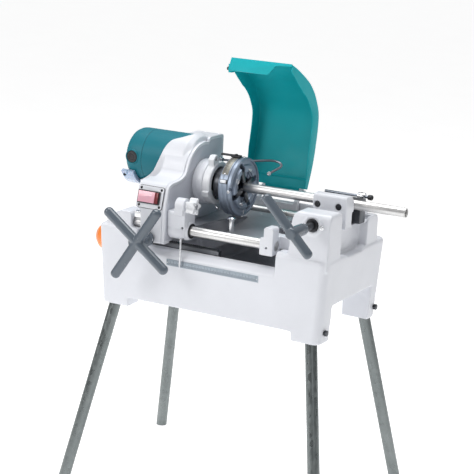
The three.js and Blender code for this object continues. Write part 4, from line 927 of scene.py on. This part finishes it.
for n in ("spindle_gear", "cluster_gear", "motor_pinion", "feed_rack"):
    dress(n, TOOLED, 0.25)
for n in ("armature",):
    dress(n, STEEL, 0.3)
spindle = turn(fillet([(-214, 20), (-214, 25), (-79.5, 25), (-79.5, 46), (-61, 46), (-61, 20)], 0.8, True, 3), (0, *S), (1, 0, 0), 96, True)
put("spindle_tube", spindle, "spindle", DARKSTEEL, "spindle", "bright_steel")
flange_bolts = [socket_screw((-79.5, 36 * math.cos(a), 697 + 36 * math.sin(a)), (-1, 0, 0), 4.4, 3.6) for a in (k * math.tau / 6 + 0.3 for k in range(6))]
put("flange_bolts", joined(*flange_bolts), "spindle", OXIDE)

# ------------------------------------------------------------------ die head
ANGLES = (20, 110, 200, 290)


def spoke(a, r0, r1, w, x0, x1):
    return turned(box(x0, x1, r0, r1, 697 - w / 2, 697 + w / 2), a)


head = turn(fillet([(-60.7, 30), (-60.7, 52), (-50, 52), (-50, 70), (-13.6, 70), (-13.6, 83.2), (-12.6, 84), (-4.5, 84), (-0.8, 81), (-0.8, 76.5), (-4.6, 75.5), (-4.6, 64.5), (-0.6, 63.5),
                    (2, 62), (2, 55), (0.6, 54), (0.6, 47), (-2.5, 46), (-2.5, 42), (-6, 40), (-6, 30)], 0.9, True, 3), (0, *S), (1, 0, 0), 144, True)
head = cut(head, *[spoke(a, 20, 72, 17, -13, 10) for a in ANGLES])
# clearances between the chaser slots, and a locating notch in the rim
head = cut(head, *[turned(cyl("x", 35, 697, 9.5, -9, 10, 40), a + 45) for a in ANGLES])
head = cut(head, spoke(268, 66, 90, 5.5, -6, 10), spoke(176, 70, 90, 9, -6.5, 10))
put("head_body", bevel(head, 0.7, 2, 32), "spindle", BLUED, "die_head_body", "head_steel", sharp=35)
put("head_notch_key", turned(bevel(box(-6, -1.2, 67, 80, 695, 699), 0.4, 2), 268), "spindle", BRIGHT)
round_heads = []
for a in (65, 155, 245, 335):
    c = (0.0, 55 * math.cos(math.radians(a)), 697 + 55 * math.sin(math.radians(a)))
    round_heads.append(turn(fillet([(0.4, 0), (0.4, 9.2), (1.95, 8.4), (1.95, 5.6), (0.9, 5.2), (0.9, 0)], 0.4, False, 3), (0, c[1], c[2]), (1, 0, 0), 48))
put("head_screws", joined(*round_heads), "spindle", STEEL)

cam = turn(fillet([(-42, 71), (-42, 82), (-39.6, 84), (-31, 84), (-30.2, 83.2), (-29.4, 84), (-16.4, 84), (-14.2, 82), (-14.2, 71)], 0.8, True, 3), (0, *S), (1, 0, 0), 144, True)
cam = cut(cam, *[spoke(a, 81, 90, 14, -34, -22) for a in (60, 240)])
put("cam_band", bevel(cam, 0.5, 2, 32), "cam_ring", BLUED, "cam_ring", "head_steel", sharp=35)


def band(a0, a1, r0, r1, x0, x1, n=24):
    return prism("x", arc(*S, r1, a0, a1, n) + arc(*S, r0, a1, a0, n), x0, x1)


# graduated plate, curved to the ring, with its lines and end screws
put("graduated_band", bevel(band(97, 149, 83.6, 84.7, -38.5, -18.5), 0.25, 2), "cam_ring", BRASS)
marks = []
for k in range(25):
    a = 102 + k * 1.8
    w = 8.5 if k % 4 == 0 else 5
    marks.append(turned(box(-34.5, -34.5 + w, 84.55, 84.82, 696.7, 697.3), a))
put("graduation_lines", joined(*marks), "cam_ring", GROOVE)
put("plate_screws", joined(*[turned(turn([(0, 0), (0, 2.7), (-0.9, 2.3), (-1.3, 0)], (-28.5, 84.9 - 0.4, 697), (0, -1, 0), 32), a) for a in (99.5, 146.5)]), "cam_ring", BRIGHT)
# stop block and its dark seat
put("stop_block", turned(bevel(box(-37, -19, 83.4, 87.2, 692.6, 701.4), 0.9, 3), 163), "cam_ring", KNOB)
put("stop_seat", turned(bevel(box(-39, -15.5, 83.2, 84.5, 690.8, 703.2), 0.4, 2), 163), "cam_ring", OXIDE)
put("rim_bolts", joined(*[turned(socket_screw((-8, 83.6, 697), (0, 1, 0), 4.6, 3.2), a) for a in (91.5, 181, 271, 1)]), "spindle", BRIGHT)
lk = joined(
    bevel(turned(box(-42, -14, 84.5, 90.1, 689.5, 704.5), 97), 0.9, 3),
    bevel(turned(box(-76, -42.2, 86.3, 90.1, 691.5, 702.5), 97), 0.9, 3),
    turned(turn(fillet([(0, 0), (0, 4.2), (-3.6, 4.2), (-3.6, 0)], 0.8, False, 3), (-28, 90, 697), (0, -1, 0), 32), 97))
put("latch", lk, "cam_ring", OXIDE, "head_latch", "black_parts")


def chaser(a, name):
    pts = [(13.95, -4.2), (22, -8.2), (50, -8.2), (50, 8.2), (22, 8.2), (13.95, 4.2)]
    body = prism("x", [(p[0], p[1] + 697) for p in pts], -12.6, -0.5)
    # thread form on the cutting edge
    teeth = [prism("z", [(x - 0.85, 12), (x + 0.85, 12), (x, 15.3)], 690, 704) for x in (-11, -9.2, -7.4, -5.6, -3.8, -2.0)]
    body = cut(body, *teeth)
    body = cut(body, box(-14, -8.2, 34, 44, 694, 700))
    body.transform(Matrix.Translation((0, 0, 697)) @ Matrix.Rotation(math.radians(a), 4, "X") @ Matrix.Translation((0, 0, -697)))
    put(f"{name}_cutter", bevel(body, 0.3, 2, 40), name, TOOLED, name, "black_parts")


for i, a in enumerate(ANGLES):
    chaser(a, f"chaser_{i + 1}")

# ------------------------------------------------------------------ feed handwheel
WX, WZ = -190.0, 557.0


def tip(x, z, L=127.0):
    d = math.hypot(x - WX, z - WZ)
    return WX + (x - WX) * L / d, WZ + (z - WZ) * L / d


(ax, az_), (bx, bz) = tip(-120, 653), tip(-244, 468)
(cx_, cz), (dx, dz) = tip(-274, 627), tip(-94, 494)
front_bar = rod((ax, -276, az_), (bx, -276, bz), 14.2, 96, 12)
rear_bar = rod((cx_, -275.5, cz), (dx, -275.5, dz), 14.2, 96, 12)
hub = turn(fillet([(-284, 0), (-284, 15), (-279, 19), (-228, 19), (-226, 22), (-208, 22), (-208, 0)], 2.0, False, 4), (WX, 0, WZ), (0, 1, 0), 96)
wheel = cut(union(front_bar, rear_bar, hub), cyl("y", WX, WZ, 8.3, -262, -200))
put("wheel_cross", cast(wheel, 1.25, 5, 0.4), "feed_wheel", GRIP, "feed_handwheel", "handle_grip", sharp=0)
put("wheel_pin", rod((WX - 22.2, -217, WZ), (WX + 22.2, -217, WZ), 3, 24), "feed_wheel", STEEL)
dress("feed_shaft", STEEL, 0.25)

# ------------------------------------------------------------------ vise
hy = -304.0
grip_a = rod((220, hy, 757), (364, hy, 611), 13.4, 96, 12)
hub = turn(fillet([(-317.8, 0), (-317.8, 12), (-315, 15.4), (-290, 16.4), (-246, 16.4), (-242, 14.4), (-236, 14.4), (-236, 0)], 1.8, False, 4), (308, 0, 668), (0, 1, 0), 96)
handle = cast(union(grip_a, hub), 1.25, 5, 0.4)
put("vise_bar", handle, "vise_handle", GRIP, "vise_handle", "handle_grip", sharp=0)
put("vise_pin", rod((308, -252, 668 - 16.8), (308, -252, 668 + 16.8), 3, 24), "vise_handle", STEEL)


def thread(y0, y1, r, depth, pitch, hand):
    """Turned threaded length about the vise screw line."""
    n, steps = 40, int((y1 - y0) / pitch * 10)
    verts, rows = [], []
    for k in range(steps + 1):
        y = y0 + (y1 - y0) * k / steps
        row = []
        for i in range(n):
            a = i / n * math.tau
            ph = ((y - y0) / pitch + hand * a / math.tau) % 1.0
            w = 1 - min(1, max(0, (abs(ph - 0.5) * 2 - 0.3) / 0.35))
            fade = min(1, (y - y0) / 4, (y1 - y) / 4)
            rr = r - depth * w * max(0, fade)
            row.append(len(verts))
            verts.append((308 + rr * math.cos(a), y, 668 + rr * math.sin(a)))
        rows.append(row)
    faces = [[p[i], p[(i + 1) % n], q[(i + 1) % n], q[i]] for p, q in zip(rows, rows[1:]) for i in range(n)]
    faces += [rows[0][::-1], rows[-1]]
    return outward(mesh(verts, faces))


screw = union(
    turn(fillet([(-235.7, 0), (-235.7, 10), (-150, 10), (-150, 11.5), (-112, 11.5), (-112, 8.9), (-106, 8.9), (-106, 0)], 0.7, False, 3), (308, 0, 668), (0, 1, 0), 64),
    thread(-107, -7, 9, 1.2, 6, 1), turn([(-8, 0), (-8, 7.5), (8, 7.5), (8, 0)], (308, 0, 668), (0, 1, 0), 48), thread(7, 97.5, 9, 1.2, 6, -1))
put("screw_threaded", screw, "vise_handle", DARKSTEEL, "vise_screw", "bright_steel", sharp=40)

jf = union(
    prism("x", fillet([(-60, 680), (-62, 690, 4), (-62, 722), (-58, 727), (-30, 727), (-20, 716), (-14, 708), (-13.8, 686), (-18, 680)], 3), 244, 346),
    prism("x", [(-62, 638), (-62, 686), (-24, 686), (-24, 638)], 284, 346))
jf = cut(jf, cyl("y", *SCREW, 10.4, -80, 0), cyl("x", *S, 13.8, 200, 400, 96), *[cyl("y", x, 697.2, 9.4, -70, -58, 48) for x in (257.5, 320.8)])
put("jaw_front", cast(jf, 1.1, 5, 0.35), "front_jaw", PAINT, "front_jaw", "casting_paint", sharp=0)
put("jaw_front_screws", joined(*[socket_screw((x, -58.4, 697.2), (0, -1, 0), 8.4, 3.2) for x in (257.5, 320.8)]), "front_jaw", OXIDE)
jr = union(
    prism("x", fillet([(59.2, 638.8), (59.2, 702), (55.4, 705.6), (26, 705.6), (14, 703), (13.8, 686), (18, 680), (24, 676), (24, 638.8)], 2), 284.6, 347.2),
    prism("x", fillet([(59.2, 680.6), (59.2, 702), (55.4, 705.6), (26, 705.6), (14, 703), (13.8, 686), (18, 680.6)], 2), 246.6, 286))
jr = cut(jr, cyl("y", *SCREW, 10.4, 0, 80), cyl("x", *S, 13.8, 200, 400, 96))
put("jaw_rear", bevel(jr, 0.9, 3), "rear_jaw", DARKSTEEL, "rear_jaw", "bright_steel")
# hardened inserts with cross-cut teeth, in shallow seats at the pipe
for nm, sgn in (("front", -1), ("rear", 1)):
    teeth = []
    for k in range(24):
        x = 247 + k * 4.0
        if x > 343:
            break
        teeth.append(prism("x", [(sgn * 13.95, 700.5), (sgn * 14.9, 702.6), (sgn * 14.9, 691.4), (sgn * 13.95, 693.5)], x, x + 2.4))
    put("jaw_teeth_" + nm, joined(*teeth), nm + "_jaw", TOOLED)

# ------------------------------------------------------------------ cover
LID = [(200, 671), (211, 698), (222, 727), (233, 766), (241, 808), (246, 842), (247.5, 875), (243, 900), (231, 925), (211, 955), (184, 982), (155, 1002), (123, 1020), (92, 1036), (62, 1049)]
X0, X1, T = -100.0, 99.0, 2.4


def make_cover():
    path = spline(LID, 7)
    n = len(path)
    rows = []
    for i, p in enumerate(path):
        d = (path[min(i + 1, n - 1)] - path[max(i - 1, 0)]).normalized()
        inn = Vector((-d.y, d.x))            # towards the die head
        s = i / (n - 1)
        k = s * (len(LID) - 1)
        depth = float(np.interp(k, [0, 1, 2, 3, 11, 12, 13, 14], [20, 28, 36, 44, 44, 38, 30, 20]))
        R = 6.0
        outer, inner = [], []
        arcs = [(math.pi / 2 * j / 6) for j in range(7)]
        outer.append((X0, depth))
        outer += [(X0 + R - R * math.cos(a), R - R * math.sin(a)) for a in arcs]
        outer += [(X0 + R + (X1 - X0 - 2 * R) * j / 10, 0) for j in range(1, 10)]
        outer += [(X1 - R + R * math.sin(a), R - R * math.cos(a)) for a in arcs]
        outer.append((X1, depth))
        r = R - T
        inner.append((X1 - T, depth))
        inner += [(X1 - R + r * math.sin(a), R - r * math.cos(a)) for a in reversed(arcs)]
        inner += [(X1 - R - (X1 - X0 - 2 * R) * j / 10, T) for j in range(1, 10)]
        inner += [(X0 + R - r * math.cos(a), R - r * math.sin(a)) for a in reversed(arcs)]
        inner.append((X0 + T, depth))
        rows.append([(x, p.x + inn.x * q, p.y + inn.y * q) for x, q in outer + inner])
    sheet = loft(rows)
    # front lip, deep at the left and cut back at the right
    a, b = Vector((62.4, 1049.2)), Vector((50.6, 1026.5))
    lip2d = fillet([(X0 + 1.5, 0), (X0 + 1.5, 39.4, 5), (29, 39.4, 12), (47, 9, 14), (X1 - 2.5, 8), (X1 - 2.5, 0)], 2, True, 8)
    u = (b - a).normalized()
    nn = Vector((-u.y, u.x))
    lip = loft([[(x, a.x + u.x * q - nn.x * w, a.y + u.y * q - nn.y * w) for x, q in lip2d] for w in (0.0, 2.2)])
    sleeve = union(prism("x", fillet([(200, 671), (203, 669.2), (198.2, 664), (195.6, 670)], 0.8), -41, 69), cyl("x", 204, 660, 9.5, -41, 69, 96), box(-41, 69, 197, 203, 664, 673))
    hem = rod((X0 + 8, path[-1].x + 0.4, path[-1].y - 1.7), (X1 - 8, path[-1].x + 0.4, path[-1].y - 1.7), 1.7, 24)
    # raised bead near the foot and a small tab at the top left corner
    bead = prism("x", fillet([(208.2, 694), (210.6, 700), (209.0, 702.6), (206.6, 700.5), (206.2, 695.5)], 1.2), X0 + 4, X1 - 4)
    tab = box(X0 - 9, X0 + 2, 64, 80, 1006, 1030)
    lid = union(sheet, lip, sleeve, bead, tab)
    return cut(lid, cyl("x", 204, 660, 4.3, -60, 90))


put("cover_sheet", bevel(make_cover(), 0.7, 3, 40), "cover", COVER, "splash_cover", "cover_teal", sharp=40)
put("hinge_pin", turn(fillet([(-58, 0), (-58, 4), (86, 4), (86, 6.5), (90, 6.5), (90, 0)], 0.7, False, 3), (0, 204, 660), (1, 0, 0), 48), "headstock", STEEL, "cover_hinge_pin", "bright_steel")
put("cover_buffer", turn(fillet([(0, 0), (0, 5.2), (-6, 6.0), (-9.5, 5.0), (-9.5, 0)], 1.2, False, 3), (-104.5, 64, 1018), (0, 1, 0), 48), "cover", BLACK)

# ------------------------------------------------------------------ work pipe
pipe = turn(fillet([(-2, 10.6), (-2, 12.8), (-1.2, 13.45), (494, 13.45), (494, 10.6)], 0.35, True, 2), (0, *S), (1, 0, 0), 96, True)
put("pipe_blank", pipe, "work_pipe", CHROME, "work_pipe", "chrome_bar", sharp=40)

# ------------------------------------------------------------------ stage and light
floor_me = bpy.data.meshes.new("floor")
floor_me.from_pydata([(-60, -60, 0), (60, -60, 0), (60, 60, 0), (-60, 60, 0)], [], [(0, 1, 2, 3)])
floor = bpy.data.objects.new("floor", floor_me)
fm = Mat("pale_floor")
floor_me.materials.append(fm.done(fm.mix(fm.span(fm.noise(3, 3), 0.3, 0.7), (0.80, 0.80, 0.80), (0.83, 0.83, 0.83)), 0.8))
floor.location.z = -0.0005
fm.b.inputs["Emission Color"].default_value = (1, 1, 1, 1)
fm.b.inputs["Emission Strength"].default_value = 0.63
scene_col.objects.link(floor)


def area(name, loc, target, size, power, color=(1, 1, 1)):
    d = bpy.data.lights.new(name, "AREA")
    d.shape = "RECTANGLE"
    d.size, d.size_y = size
    d.energy = power
    d.color = color
    o = bpy.data.objects.new(name, d)
    o.location = loc
    o.rotation_euler = (Vector(target) - Vector(loc)).to_track_quat("-Z", "Y").to_euler()
    scene_col.objects.link(o)


area("key", (-2.2, -3.4, 2.7), (0, 0, 0.7), (2.2, 1.8), 62, (1.0, 0.99, 0.98))
area("top", (-0.2, 0.3, 3.6), (0, 0, 0.7), (2.6, 2.2), 80, (0.98, 0.99, 1.0))
area("fill", (3.0, -3.2, 1.9), (0, 0, 0.7), (1.0, 1.4), 5, (0.97, 0.98, 1.0))

world = bpy.data.worlds.new("studio")
bpy.context.scene.world = world
world.use_nodes = True
wt = world.node_tree
bg = wt.nodes["Background"]
wc = wt.nodes.new("ShaderNodeTexCoord")
ws = wt.nodes.new("ShaderNodeSeparateXYZ")
wr = wt.nodes.new("ShaderNodeValToRGB")
wt.links.new(wc.outputs["Generated"], ws.inputs[0])
wm = wt.nodes.new("ShaderNodeMapRange")
wm.inputs["From Min"].default_value = -1
wt.links.new(ws.outputs["Z"], wm.inputs["Value"])
wt.links.new(wm.outputs[0], wr.inputs[0])
wr.color_ramp.elements[0].position = 0.5
wr.color_ramp.elements[0].color = (0.42, 0.43, 0.45, 1)
wr.color_ramp.elements[1].position = 0.85
wr.color_ramp.elements[1].color = (1.0, 1.0, 1.0, 1)
wt.links.new(wr.outputs[0], bg.inputs["Color"])
bg.inputs["Strength"].default_value = 0.45
bpy.context.scene.view_settings.view_transform = "Standard"
